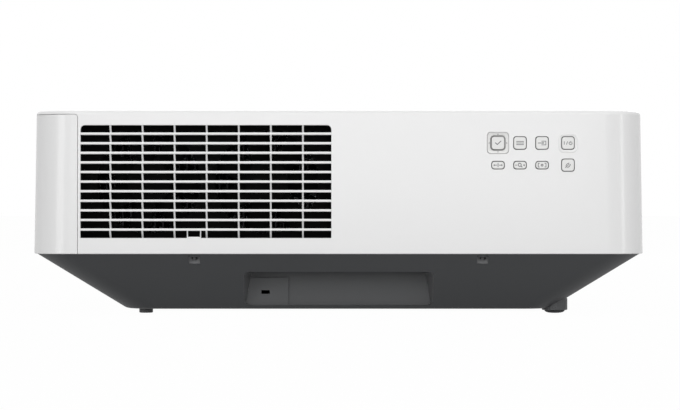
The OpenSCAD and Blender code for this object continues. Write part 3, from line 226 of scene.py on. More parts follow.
make_world()
make_floor()
lamp("front softbox", (0.0, -2.6, 1.5), (0, -0.2, 0.08), (2.2, 1.4), 18)
lamp("front card", (0.0, -2.9, 0.5), (0.0, -0.2, 0.5), (0.96, 0.7), 8)
lamp("left strip", (-1.57, -2.07, 0.45), (-0.23, -0.2, 0.45), (0.9, 0.9), 8)
lamp("right strip", (1.81, -1.26, 0.65), (0.23, -0.2, 0.65), (0.3, 1.6), 6)
lamp("back softbox", (0.3, 2.6, 1.2), (0, 0.2, 0.08), (2.0, 1.4), 16)
lamp("top softbox", (0.2, -0.6, 2.2), (0, 0, 0.1), (2.0, 2.0), 6)

# ---------------------------------------------------------------- materials

GRAIN_RELIEF, METAL_RELIEF = 0.00005, 0.00004        # metres
BROAD_SCALE = 9.0                                    # of the slow tone change, per metre
COAT_ROUGHNESS = 0.14


def principled(name, color, rough, specular=0.5, metallic=0.0):
    """A material with one plain shader, for the looks below to build on."""
    mat = bpy.data.materials.new(name)
    nodes, links = empty_nodes(mat)
    out = nodes.new("ShaderNodeOutputMaterial")
    bsdf = nodes.new("ShaderNodeBsdfPrincipled")
    bsdf.inputs["Base Color"].default_value = (*color, 1)
    bsdf.inputs["Roughness"].default_value = rough
    bsdf.inputs["Metallic"].default_value = metallic
    bsdf.inputs["Specular IOR Level"].default_value = specular
    links.new(bsdf.outputs[0], out.inputs[0])
    mat.diffuse_color = (*color, 1)
    return mat, nodes, links, bsdf


def noise_field(nodes, links, vector, scale, detail=2.0):
    """A noise texture over a vector; its factor runs from 0 to 1."""
    noise = nodes.new("ShaderNodeTexNoise")
    noise.inputs["Scale"].default_value = scale
    noise.inputs["Detail"].default_value = detail
    links.new(vector, noise.inputs["Vector"])
    return noise.outputs["Fac"]


def spread_between(nodes, links, factor, low, high):
    """A factor from 0 to 1, mapped to a range."""
    span = nodes.new("ShaderNodeMapRange")
    span.inputs["To Min"].default_value = low
    span.inputs["To Max"].default_value = high
    links.new(factor, span.inputs["Value"])
    return span.outputs[0]


def relief(nodes, links, factor, bsdf, strength, distance):
    """Bumps a surface by a factor, by a distance in metres."""
    bump = nodes.new("ShaderNodeBump")
    bump.inputs["Strength"].default_value = strength
    bump.inputs["Distance"].default_value = distance
    links.new(factor, bump.inputs["Height"])
    links.new(bump.outputs[0], bsdf.inputs["Normal"])


def moulded(name, color, rough, grain=0.00035, depth=0.1, spread=0.03, specular=0.5, coat=0.0):
    """Moulded plastic: a fine grain, slight tone and gloss variation."""
    mat, nodes, links, bsdf = principled(name, color, rough, specular)
    bsdf.inputs["Coat Weight"].default_value = coat
    bsdf.inputs["Coat Roughness"].default_value = COAT_ROUGHNESS
    coord = nodes.new("ShaderNodeTexCoord").outputs["Object"]
    fine = noise_field(nodes, links, coord, 1.0 / grain)
    relief(nodes, links, fine, bsdf, depth, GRAIN_RELIEF)
    broad = noise_field(nodes, links, coord, BROAD_SCALE, 3.0)
    tone = spread_between(nodes, links, broad, 1.0 - spread, 1.0 + spread)
    hue = nodes.new("ShaderNodeMix")
    hue.data_type = "RGBA"
    hue.blend_type = "MULTIPLY"
    hue.inputs["Factor"].default_value = 1.0
    hue.inputs[6].default_value = (*color, 1)
    links.new(tone, hue.inputs[7])
    links.new(hue.outputs[2], bsdf.inputs["Base Color"])
    gloss = spread_between(nodes, links, fine, rough - 0.04, rough + 0.04)
    links.new(gloss, bsdf.inputs["Roughness"])
    return mat


def metal(name, color, rough, stretch=(1, 1, 1), scale=900.0):
    """Metal with a drawn or brushed grain along one axis."""
    mat, nodes, links, bsdf = principled(name, color, rough, metallic=1.0)
    coord = nodes.new("ShaderNodeTexCoord").outputs["Object"]
    mapping = nodes.new("ShaderNodeMapping")
    mapping.inputs["Scale"].default_value = stretch
    links.new(coord, mapping.inputs["Vector"])
    grain = noise_field(nodes, links, mapping.outputs[0], scale, 3.0)
    gloss = spread_between(nodes, links, grain, max(rough - 0.1, 0.05), rough + 0.1)
    links.new(gloss, bsdf.inputs["Roughness"])
    relief(nodes, links, grain, bsdf, 0.1, METAL_RELIEF)
    return mat


WHITE = moulded("white moulding", (0.80, 0.80, 0.80), 0.42, spread=0.006, depth=0.08, coat=0.5)
KEY_WHITE = moulded("key moulding", (0.80, 0.80, 0.79), 0.40, spread=0.004, depth=0.05)
# painted light: the grille's white is set lighter than the cabinet's, standing in for the light on its slats
# and ribs
GRILLE_WHITE_PAINTED_LIGHT = moulded("grille white with painted light", (0.87, 0.87, 0.87), 0.40, spread=0.004, depth=0.05)
CHARCOAL = moulded("charcoal moulding", (0.056, 0.058, 0.061), 0.6, grain=0.0006, depth=0.35, spread=0.05,
                   specular=0.25)
# a smoother, glossier charcoal for inside the hand hold, with its tone set as painted light for the hollow's
# lighting
HOLD_SMOOTH_PAINTED_LIGHT = moulded("smooth charcoal with painted hold light", (0.051, 0.053, 0.056), 0.5, spread=0.02)
# painted light: the same charcoal made lighter on the hand hold's side walls, standing in for the light they
# catch
HOLD_SIDE_PAINTED_LIGHT = moulded("charcoal with painted light on hold sides", (0.105, 0.107, 0.111), 0.5, spread=0.02)
INNER = moulded("inner black", (0.007, 0.007, 0.007), 0.92, depth=0.2, specular=0.05)
# painted shade: dark grey for the key wells' walls and the keys' sides, where shade falls in the gaps
WELL_GAP_SHADE = moulded("painted gap shade", (0.22, 0.22, 0.22), 0.8, specular=0.1)
# painted shade: grey for the enter key's sides, where shade falls in its wide gap
ENTER_RING_SHADE = moulded("painted enter ring shade", (0.42, 0.42, 0.42), 0.5)
# painted light: a lighter grey on the screw pockets' back walls and floors, standing in for the light they
# catch
POCKET_PAINTED_LIGHT = moulded("charcoal with painted pocket light", (0.16, 0.163, 0.168), 0.5)
BLACK = moulded("black moulding", (0.018, 0.018, 0.019), 0.45, depth=0.3)
KNOB = moulded("knob moulding", (0.050, 0.052, 0.055), 0.5, grain=0.0006, depth=0.3, spread=0.04)
RUBBER = moulded("rubber", (0.028, 0.028, 0.030), 0.75, grain=0.0008, depth=0.5, specular=0.3)
STEEL = metal("plated steel", (0.62, 0.63, 0.65), 0.32, (1, 1, 12))
ALLOY = metal("cast alloy", (0.72, 0.72, 0.74), 0.5, scale=2500.0)
DARK_ALLOY = metal("black anodised alloy", (0.03, 0.03, 0.032), 0.5, scale=2500.0)
BRASS = metal("brass", (0.76, 0.58, 0.28), 0.3)
LEGEND = moulded("legend ink", (0.17, 0.17, 0.18), 0.6, depth=0.05)
FILTER = moulded("filter medium", (0.60, 0.60, 0.57), 0.9, grain=0.0012, depth=0.8, spread=0.08)
BOARD = moulded("board mask", (0.02, 0.14, 0.07), 0.35, grain=0.004, spread=0.1)


def glass_material(name, color, rough):
    """Clear glass with a faint uneven haze."""
    mat, nodes, links, bsdf = principled(name, color, rough)
    bsdf.inputs["Transmission Weight"].default_value = 1.0
    bsdf.inputs["IOR"].default_value = 1.5
    coord = nodes.new("ShaderNodeTexCoord").outputs["Object"]
    haze = noise_field(nodes, links, coord, 60.0)
    gloss = spread_between(nodes, links, haze, rough / 2, rough * 1.5)
    links.new(gloss, bsdf.inputs["Roughness"])
    return mat


GLASS = glass_material("lens glass", (0.80, 0.88, 0.95), 0.02)
WINDOW = moulded("remote window", (0.012, 0.006, 0.008), 0.12, depth=0.02)

# ---------------------------------------------------------------- builders

HOLE_DEPTH = 8.0                                     # of a cutter, through any wall


def outline(hx, hy, r, steps):
    """Anticlockwise points round a rectangle with round corners."""
    points = []
    for c, (sx, sy) in enumerate(((1, 1), (-1, 1), (-1, -1), (1, -1))):
        for i in range(steps + 1):
            a = math.radians(90 * c + 90 * i / steps)
            points.append((sx * (hx - r) + r * math.cos(a), sy * (hy - r) + r * math.sin(a)))
    return points


def make(name, verts, faces, matrix):
    """A mesh object from points in millimetres, moved by a matrix if there is one."""
    mesh = bpy.data.meshes.new(name)
    if matrix is not None:
        verts = [matrix @ Vector(v) for v in verts]
    mesh.from_pydata([Vector(v) * MM for v in verts], [], faces)
    bm = bmesh.new()
    bm.from_mesh(mesh)
    bmesh.ops.remove_doubles(bm, verts=bm.verts, dist=1e-7)
    bmesh.ops.recalc_face_normals(bm, faces=bm.faces)
    bm.to_mesh(mesh)
    bm.free()
    obj = bpy.data.objects.new(name, mesh)
    scene.collection.objects.link(obj)
    return obj


def loft(name, rings, matrix=None):
    """A closed solid through rings of equal length."""
    n = len(rings[0])
    verts = [p for ring in rings for p in ring]
    faces = [tuple(range(n))[::-1], tuple((len(rings) - 1) * n + i for i in range(n))]
    for j in range(len(rings) - 1):
        for i in range(n):
            k = (i + 1) % n
            faces.append((j * n + i, j * n + k, (j + 1) * n + k, (j + 1) * n + i))
    return make(name, verts, faces, matrix)


def combine(target, other, operation):
    """Applies a boolean with another object, which is used up."""
    mod = target.modifiers.new("cut", "BOOLEAN")
    mod.operation = operation
    mod.solver = "EXACT"
    mod.object = other
    deps = bpy.context.evaluated_depsgraph_get()
    mesh = bpy.data.meshes.new_from_object(target.evaluated_get(deps))
    target.modifiers.clear()
    old = target.data
    target.data = mesh
    bpy.data.meshes.remove(old)
    bpy.data.objects.remove(other)
    return target


def cut(target, *others):
    """Takes other solids out of one."""
    for o in others:
        combine(target, o, "DIFFERENCE")
    return target


def add(target, *others):
    """Fuses other solids to one."""
    for o in others:
        combine(target, o, "UNION")
    return target


def join(name, objs):
    """One mesh from several, without cutting them together."""
    bm = bmesh.new()
    for o in objs:
        bm.from_mesh(o.data)
    mesh = bpy.data.meshes.new(name)
    bm.to_mesh(mesh)
    bm.free()
    for o in objs:
        bpy.data.objects.remove(o)
    obj = bpy.data.objects.new(name, mesh)
    scene.collection.objects.link(obj)
    return obj


def smooth(obj, angle):
    """Smooth shading with sharp edges above an angle in degrees."""
    obj.data.shade_smooth()
    obj.data.set_sharp_from_angle(angle=math.radians(angle))
    mod = obj.modifiers.new("normals", "WEIGHTED_NORMAL")
    mod.keep_sharp = True
    mod.weight = 100


def finish_piece(obj, material, body, nodes=(), angle=35):
    """Shading, material, the body that the piece rides on and the nodes it stands for."""
    smooth(obj, angle)
    obj.data.materials.clear()
    obj.data.materials.append(material)
    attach(obj, body)
    if nodes:
        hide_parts(*nodes)
    return obj


def wall_frame(turn, half):
    """x along a leaning wall to the right, y up it, z out of it, in millimetres."""
    return (Matrix.Rotation(math.radians(turn), 4, "Z")
            @ Matrix.Translation((0, -half, Z_SPLIT))
            @ Matrix.Rotation(math.pi / 2 - LEAN, 4, "X"))


REAR = wall_frame(0, BODY_D / 2)
FRONT = wall_frame(180, BODY_D / 2)
RIGHT = wall_frame(90, BODY_W / 2)
LEFT = wall_frame(-90, BODY_W / 2)


def quarter_turns(steps):
    """Angles from 0 to 90 degrees, in radians."""
    return [math.radians(90 * i / steps) for i in range(steps + 1)]


def mouth_section(lip):
    """Growth and height pairs up a hole's wall and round its lip."""
    lip_curve = [(lip * (1 - math.cos(t)), -lip + lip * math.sin(t)) for t in quarter_turns(3)]
    return [(0.0, -HOLE_DEPTH)] + lip_curve + [(lip, 2.0)]


def hole(name, w, h, r, at, matrix, lip, steps=6):
    """A cutter for a round-cornered hole whose mouth has a rounded lip."""
    rings = []
    for g, z in mouth_section(lip):
        ring = outline(w / 2 + g, h / 2 + g, r + g, steps)
        rings.append([(at[0] + x, at[1] + y, z) for x, y in ring])
    return loft(name, rings, matrix)


def bar(name, a, b, matrix=None):
    """A block between two corners."""
    obj = loft(name, [[(a[0], a[1], z), (b[0], a[1], z), (b[0], b[1], z), (a[0], b[1], z)]
                      for z in (a[2], b[2])])
    if matrix is not None:
        place(obj, matrix)
    return obj


def place(obj, matrix):
    """Moves a piece's mesh by a matrix in millimetres."""
    m = matrix.copy()
    m.translation = m.translation * MM
    obj.data.transform(m)


def lathe(name, profile, matrix, steps):
    """A solid of revolution about z from (radius, height) pairs."""
    rings = []
    for i in range(steps):
        a = 2 * math.pi * i / steps
        rings.append([(r * math.cos(a), r * math.sin(a), z) for r, z in profile])
    n = len(profile)
    verts = [p for ring in rings for p in ring]
    faces = []
    for i in range(steps):
        j = (i + 1) % steps
        for k in range(n):
            m = (k + 1) % n
            if profile[k][0] or profile[m][0]:
                faces.append((i * n + k, j * n + k, j * n + m, i * n + m))
    return make(name, verts, faces, matrix)


def rod(r, z0, z1, matrix, steps):
    """A round rod along a frame's z."""
    return lathe("rod", [(0, z0), (r, z0), (r, z1), (0, z1)], matrix, steps)


def upright(r, z0, z1, x, y, steps=48):
    """A round rod that stands at x and y."""
    return rod(r, z0, z1, Matrix.Translation((x, y, 0)), steps)


# ---------------------------------------------------------------- cabinet

BODY_STEPS = 20                                      # points in each round corner
PARTITION_INSET, PARTITION_T = 15.0, 3.0
AIR_HOLE_HALF, AIR_HOLE_EDGE = 100.0, 20.0           # along the partition; above and below


def lean_at(z):
    """How far the drafted walls have moved inward at a height."""
    return DRAFT * (z - Z_SPLIT) / SHELL_H


def body_ring(z, inset):
    """The cabinet's outline at a height, moved inward by an inset."""
    inward = lean_at(z) + inset
    points = outline(BODY_W / 2 - inward, BODY_D / 2 - inward, max(CORNER_R - inset, 1), BODY_STEPS)
    return [(x, y, z) for x, y in points]


def rim_ring(z):
    """The inner edge of the flanges where cabinet and pan meet."""
    points = outline(BODY_W / 2 - FLANGE_W, BODY_D / 2 - FLANGE_W, CORNER_R - FLANGE_W, BODY_STEPS)
    return [(x, y, z) for x, y in points]


def band(name, side, r, profile, at, steps=8, widen=1.0):
    """A closed section of growth and height pairs, run round a square on the rear wall.

    The corner radius r grows with the section, times widen.
    """
    rings = []
    for g, z in profile:
        ring = outline(side / 2 + g, side / 2 + g, r + g * widen, steps)
        rings.append([(at[0] + x, at[1] + y, z) for x, y in ring])
    n = len(rings[0])
    verts = [p for ring in rings for p in ring]
    faces = []
    for j in range(len(rings)):
        k = (j + 1) % len(rings)
        for i in range(n):
            m = (i + 1) % n
            faces.append((j * n + i, j * n + m, k * n + m, k * n + i))
    return make(name, verts, faces, REAR)


def shell_outer(name):
    """The cabinet's outside as a solid, with rounded lower and upper edges."""
    turns = quarter_turns(8)
    low = [body_ring(Z_SPLIT + HEM_R * (1 - math.cos(t)), HEM_R * (1 - math.sin(t))) for t in turns]
    high = [body_ring(Z_TOP - EDGE_R * (1 - math.sin(t)), EDGE_R * (1 - math.cos(t))) for t in turns]
    return loft(name, low + high)


def shell_solid(name):
    """The hollow cabinet, open below inside its flange."""
    return cut(shell_outer(name),
               loft("in", [body_ring(Z_SPLIT + FLANGE_T, WALL), body_ring(Z_TOP - WALL, WALL)]),
               loft("mouth", [rim_ring(Z_SPLIT - 1), rim_ring(Z_SPLIT + FLANGE_T + 1)]))


def cover_cutter(gap):
    """The side cover's space, grown by a gap."""
    r = COVER_CORNER_R + gap
    x1 = -BODY_W / 2 + COVER_WRAP + gap
    z1 = Z_TOP - COVER_LIP - SEAM + gap
    profile = [(-400, Z_SPLIT - 1), (x1, Z_SPLIT - 1)]
    profile += [(x1 - r + r * math.cos(t), z1 - r + r * math.sin(t)) for t in quarter_turns(6)]
    profile += [(-400, z1)]
    return loft("zone", [[(x, y, z) for x, z in profile] for y in (COVER_FRONT + gap, -400)])


def grille_window():
    """A cutter with round upper corners and nearly square lower ones."""
    w, h = GRILLE_W / 2, GRILLE_H / 2
    rings = []
    for g, z in mouth_section(0.3):
        ring = []
        for c, (sx, sy) in enumerate(((1, 1), (-1, 1), (-1, -1), (1, -1))):
            r = (GRILLE_CORNER_R if sy > 0 else 0.4) + g
            for i in range(9):
                a = math.radians(90 * c + 11.25 * i)
                ring.append((GRILLE_U + sx * (w + g - r) + r * math.cos(a),
                             GRILLE_V + sy * (h + g - r) + r * math.sin(a), z))
        rings.append(ring)
    return loft("grille window", rings, REAR)


def screw_places():
    """Each cabinet screw: x and y of its axis."""
    for x in (-SCREW_X, SCREW_X):
        for s in (-1, 1):
            yield x, s * (BODY_D / 2 - SCREW_INSET)
    for y in (-SCREW_Y, SCREW_Y):
        yield BODY_W / 2 - SCREW_INSET, y


def power_guard():
    """The low rounded rim round the power key, steeper outside than inside."""
    section = [(0.04, -0.5), (0.01, -0.08), (-0.1, 0.12), (-0.3, 0.31), (-0.55, 0.39),
               (-0.85, GUARD_T), (-1.15, 0.36), (-1.5, 0.25), (-1.9, 0.09), (-2.25, -0.06), (-2.4, -0.5)]
    return band("power guard", GUARD_W, KEY_R + 2, section, (POWER_U, KEY_V))


def key_wells():
    """A cutter for the keys' holes; the enter key stands in the direction pad's."""
    wells = []
    for name, (u, v, w, h) in KEYS.items():
        if name == "key_enter":
            continue
        wells.append(hole(name, w + 2 * KEY_GAP, h + 2 * KEY_GAP, KEY_R + KEY_GAP / 2, (u, v), REAR,
                          lip=0.22, steps=8))
    side = PAD_S + 2 * PAD_GAP
    wells.append(hole("pad", side, side, PAD_WELL_R, (KEY_U, KEY_V), REAR, lip=0.25, steps=8))
    return join("key wells", wells)


def build_shells():
    """The white moulding, parted into the cabinet and its lift-off side cover."""
    shell = shell_solid("cabinet_shell")
    cover = shell.copy()
    cover.data = shell.data.copy()
    cover.name = "side_cover_shell"
    scene.collection.objects.link(cover)
    combine(cover, cover_cutter(0.0), "INTERSECT")
    cut(shell, cover_cutter(SEAM))
    return shell, cover


def partition():
    """The wall inside the side cover, with its air hole."""
    x0 = -(BODY_W / 2 - DRAFT - WALL - PARTITION_INSET)
    wall = bar("partition", (x0, -BODY_D / 2 + WALL + DRAFT + 8, Z_SPLIT + FLANGE_T + 2),
               (x0 + PARTITION_T, COVER_FRONT, Z_TOP - COVER_LIP + 0.01))
    air_hole = bar("air hole", (x0 - 1, -AIR_HOLE_HALF, Z_SPLIT + AIR_HOLE_EDGE),
                   (x0 + PARTITION_T + 1, AIR_HOLE_HALF, Z_TOP - AIR_HOLE_EDGE))
    return cut(wall, air_hole)


def board_posts():
    """The four posts of the key board, from the rear wall inward."""
    posts = []
    for sx in (-1, 1):
        for sy in (-1, 1):
            place_uv = (BOARD_U + sx * POST_REACH_U, BOARD_V + sy * POST_REACH_V, 0)
            posts.append(rod(POST_R, -11, -WALL + 0.1, REAR @ Matrix.Translation(place_uv), 32))
    return join("posts", posts)


def lens_hole():
    """The lens opening's cutter, with a small chamfer at its mouth."""
    r = LENS_HOLE_R
    profile = [(0, -HOLE_DEPTH), (r, -HOLE_DEPTH), (r, -0.5), (r + 0.15, -0.15), (r + 0.5, 0),
               (r + 0.5, 2), (0, 2)]
    return lathe("lens hole", profile, FRONT @ Matrix.Translation((0, LENS_V, 0)), 96)


def dress_cabinet(shell):
    """Bosses, posts and partition, then every opening."""
    z0 = Z_SPLIT + FLANGE_T - 0.1
    boss_top, bore_top = Z_SPLIT + SCREW_BOSS_H, Z_SPLIT + SCREW_BORE_H
    bosses = [upright(SCREW_BOSS_R, z0, boss_top, x, y, 32) for x, y in screw_places()]
    bores = [upright(SCREW_BORE_R, Z_SPLIT - 1, bore_top, x, y, 32) for x, y in screw_places()]
    inner = combine(join("bosses", bosses), shell_outer("limit"), "INTERSECT")
    add(shell, inner, board_posts(), partition())
    window = hole("window", WINDOW_W, WINDOW_H, WINDOW_H / 2 - 0.01, (WINDOW_U, WINDOW_V), FRONT,
                  lip=0.3, steps=10)
    bay = hole("bay", BAY_W, BAY_H, BAY_R, (0, BAY_V), RIGHT, lip=0.8)
    cut(shell, join("bores", bores), lens_hole(), window, bay)
    add(shell, power_guard())
    cut(shell, grille_window(), key_wells())


def filter_box(name, grow, z0, z1):
    """A block behind the louvres, larger than the filter by a growth on every side."""
    w, h = FILTER_W / 2 + grow, FILTER_H / 2 + grow
    return bar(name, (-w, FILTER_V - h, z0), (w, FILTER_V + h, z1), LEFT)


def dress_cover(cover):
    """The filter's frame behind the cover, and its louvres."""
    add(cover, filter_box("filter frame", 2, -WALL - 8, -WALL + 0.1))
    cut(cover, filter_box("pocket", 0.1, -WALL - 9, -WALL - 1),
        filter_box("inner pocket", -4, -WALL - 2, -WALL))
    pitch = (FILTER_H - 10) / LOUVRE_ROWS
    slots = []
    for i in (-1, 0, 1):
        for j in range(LOUVRE_ROWS):
            at = (LOUVRE_PITCH * i, FILTER_V + (j - (LOUVRE_ROWS - 1) / 2) * pitch)
            slots.append(hole("louvre", LOUVRE_W, LOUVRE_H, LOUVRE_H / 2 - 0.01, at, LEFT, lip=0.6))
    cut(cover, join("louvres", slots))


def paint_well_shade(obj, material):
    """Painted shade: the walls inside the key wells are painted dark grey, where shade falls in the gaps
    round the keys.
    """
    obj.data.materials.append(material)
    inv = REAR.inverted()
    for face in obj.data.polygons:
        c = inv @ (face.center / MM)
        n = inv.to_3x3() @ face.normal
        near_keys = KEY_FIELD[0] < c.x < KEY_FIELD[1] and KEY_FIELD[2] < c.y < KEY_FIELD[3]
        in_pad = abs(c.x - KEY_U) < 10 and abs(c.y - KEY_V) < 10
        if near_keys and not in_pad and -WALL - 0.05 < c.z < -0.2 and n.z < 0.3:
            face.material_index = 1


shell, cover = build_shells()
dress_cabinet(shell)
dress_cover(cover)
finish_piece(shell, WHITE, "cabinet", ["top_cabinet"])
paint_well_shade(shell, WELL_GAP_SHADE)
finish_piece(cover, WHITE, "filter_cover", ["side_cover"])

# ---------------------------------------------------------------- exhaust grille

FIT = 0.05                                           # between the grille and the cabinet's wall
BEHIND_WALL = -WALL - FIT


def prism_x(profile, x0, x1, matrix):
    """An outline in y and z, run from x0 to x1."""
    return loft("prism", [[(x, y, z) for y, z in profile] for x in (x0, x1)], matrix)


def slat_profile(y):
    """A slat's section with a rounded front."""
    top, low, r = y + SLAT, y, 0.45
    turns = quarter_turns(4)
    upper = [(top - r + r * math.sin(t), -r + r * math.cos(t)) for t in reversed(turns)]
    lower = [(low + r - r * math.sin(t), -r + r * math.cos(t)) for t in turns]
    return [(low, -SLAT_D), (top, -SLAT_D)] + upper + lower


def grille_slats(at, w, h, reach):
    """The level slats, each with an end that reaches behind the wall on both sides."""
    parts = []
    for i in range(1, ROWS):
        y = h - i * (CELL + SLAT)
        parts.append(prism_x(slat_profile(y), -w + FIT, w - FIT, at))
        for x0, x1 in ((-w - reach, -w + 1), (w - 1, w + reach)):
            parts.append(bar("slat end", (x0, y, -SLAT_D), (x1, y + SLAT, BEHIND_WALL), at))
    return parts


def grille_ribs(at, h, reach):
    """The upright ribs: in each row a rib leans inward from its upper end."""
    parts = []
    for i in range(1, COLUMNS):
        x = (i - COLUMNS / 2) * RIB_PITCH + RIB_SHIFT
        x0, x1 = x - RIB / 2, x + RIB / 2
        for j in range(ROWS):
            top = h - j * (CELL + SLAT) - (0 if j else FIT)
            low = top - CELL + (0 if j else FIT)
            section = [(top + 0.01, -0.1), (low, -RIB_SET), (low, -RIB_SET - RIB_D), (top + 0.01, -RIB_D)]
            parts.append(prism_x(section, x0, x1, at))
        parts.append(bar("rib head", (x0, h - 2, -WALL - 3), (x1, h + reach, BEHIND_WALL), at))
        parts.append(bar("rib foot", (x0, -h - reach, -SLAT_D), (x1, -h + 0.5, -RIB_SET), at))
    return parts


def grille_frame(at, w, h):
    """The frame behind the wall that holds slats and ribs."""
    outer, inner = 2.0, FRAME_GAP
    ring = bar("frame", (-w - outer, -h - outer, -FRAME_D), (w + outer, h + outer, BEHIND_WALL), at)
    opening = bar("opening", (-w - inner, -h - inner, -FRAME_D - 1), (w + inner, h + inner, 0), at)
    return cut(ring, opening)


def grille_catch(at, h, reach):
    """The catch in the lowest row: two thin sides on a foot."""
    half, side = CATCH_W / 2, 0.3
    parts = []
    for u in (-CATCH_U - half, -CATCH_U + half):
        parts.append(bar("catch side", (u - side, -h + FIT, -SLAT_D), (u + side, -h + CELL + 1, -0.2), at))
    parts.append(bar("catch foot", (-CATCH_U - half - side, -h - reach, -SLAT_D),
                     (-CATCH_U + half + side, -h + 1, BEHIND_WALL), at))
    return parts


def build_grille():
    """Slats, ribs, frame and catch, in the frame of the grille's middle."""
    w, h = GRILLE_W / 2, GRILLE_H / 2
    at = REAR @ Matrix.Translation((GRILLE_U, GRILLE_V, 0))
    reach = FRAME_GAP + 0.1
    parts = grille_slats(at, w, h, reach) + grille_ribs(at, h, reach)
    parts.append(grille_frame(at, w, h))
    return join("exhaust_grille_louvres", parts + grille_catch(at, h, reach))


finish_piece(build_grille(), GRILLE_WHITE_PAINTED_LIGHT, "cabinet", ["exhaust_grille"], angle=30)

# ---------------------------------------------------------------- keys

def key_cap(name, u, v, w, h, groove):
    """A key with a flange behind the wall and a soft edge round its face."""
    top, edge = KEY_PROUD, 0.35
    profile = [(KEY_FLANGE, -WALL - 1.3), (KEY_FLANGE, -WALL - 0.3), (0, -WALL - 0.3), (0, -0.3)]
    profile += [(-edge * (1 - math.cos(t)), top - edge + edge * math.sin(t)) for t in quarter_turns(4)]
    if groove:
        profile += [(-0.8, top), (-0.95, top - 0.12), (-1.1, top - 0.12), (-1.25, top)]
    rings = []
    for g, z in profile:
        ring = outline(w / 2 + g, h / 2 + g, max(KEY_R + g, 0.3), 8)
        rings.append([(u + x, v + y, z) for x, y in ring])
    cap = loft(name, rings, REAR)
    stem = rod(KEY_STEM_R, -WALL - 3.3, -WALL - 1.2, REAR @ Matrix.Translation((u, v, 0)), 24)
    return join(name, [cap, stem])


def paint_key_gap_shade(obj, material):
    """Painted shade: below the wall's face a key's sides are painted dark, where shade falls in the gap
    round it.
    """
    obj.data.materials.append(material)
    inv = REAR.inverted()
    for face in obj.data.polygons:
        if (inv @ (face.center / MM)).z < -0.15:
            face.material_index = 1


for key, (u, v, w, h) in KEYS.items():
    cap = key_cap(key + "_cap", u, v, w, h, groove=(key == "key_enter"))
    finish_piece(cap, KEY_WHITE, key.replace("key_", "button_"), [key], angle=40)
    # painted shade on each key's sides inside its gap
    paint_key_gap_shade(cap, ENTER_RING_SHADE if key == "key_enter" else WELL_GAP_SHADE)


def build_pad():
    """The direction pad: a dished ring round the enter key, with two pivot lugs."""
    reach = PAD_S / 2 + 0.08 - PAD_HOLE / 2

    def dish(g):
        """Height of the pad's face at a distance outward from its hole."""
        return -0.55 + 0.75 * (g / reach) ** 1.6

    section = [(0, -WALL - 1.3), (0, dish(0) - 0.5), (0.12, dish(0) - 0.2), (0.4, dish(0) - 0.02)]
    section += [(g, dish(g)) for g in (0.9, 1.3, 1.7, 2.1)]
    section += [(reach - 0.2, dish(reach) - 0.02), (reach, dish(reach) - 0.25), (reach, -WALL - 0.6),
                (reach + 1.0, -WALL - 0.6), (reach + 1.0, -WALL - 1.3)]
    parts = [band("pad ring", PAD_HOLE, PAD_HOLE_R, section, (KEY_U, KEY_V), steps=10, widen=0.0)]
    for turn in (0, 180):
        spin = REAR @ Matrix.Translation((KEY_U, KEY_V, 0)) @ Matrix.Rotation(math.radians(turn), 4, "Z")
        parts.append(bar("lug", (8, -1.4, -WALL - 4.2), (9.6, 1.4, -WALL - 1.1), spin))
    return join("direction_pad_face", parts)


finish_piece(build_pad(), KEY_WHITE, "pad", ["direction_pad"], angle=35)

# ---------------------------------------------------------------- printed marks

class Ink:
    """Strokes and fills in a key's plane, printed as a thin raised layer."""

    def __init__(self):
        self.polygons = []

    def stroke(self, points, width=0.45):
        """A line through points; its ends run on a little, so that joints close."""
        for start, end in zip(points, points[1:]):
            a, b = Vector(start), Vector(end)
            d = (b - a).normalized()
            side = Vector((-d.y, d.x)) * width * 0.6
            a, b = a - d * width * 0.3, b + d * width * 0.3
            self.polygons.append([a + side, a - side, b - side, b + side])
        return self

    def arc(self, centre, r, start, end, width=0.45, steps=16):
        """Part of a circle between two angles in degrees."""
        angles = [math.radians(start + (end - start) * i / steps) for i in range(steps + 1)]
        points = [(centre[0] + r * math.cos(a), centre[1] + r * math.sin(a)) for a in angles]
        return self.stroke(points, width)

    def fill(self, points):
        """A filled polygon."""
        self.polygons.append([Vector(p) for p in points])
        return self

    def mesh(self, name, u, v, z, thick=0.03):
        """All strokes and fills as one layer on the rear wall, from height z."""
        verts, faces = [], []
        for poly in self.polygons:
            k, n = len(verts), len(poly)
            for level in (z, z + thick):
                verts += [(u + p[0], v + p[1], level) for p in poly]
            faces.append(tuple(range(k, k + n)))
            faces.append(tuple(range(k + n, k + 2 * n)))
            faces += [(k + i, k + (i + 1) % n, k + n + (i + 1) % n, k + n + i) for i in range(n)]
        return make(name, verts, faces, REAR)


def arrow(ink, tip, direction, size):
    """A filled arrow head."""
    d = Vector(direction).normalized()
    s = Vector((-d.y, d.x))
    t = Vector(tip)
    return ink.fill([t, t - d * size + s * size * 0.75, t - d * size - s * size * 0.75])


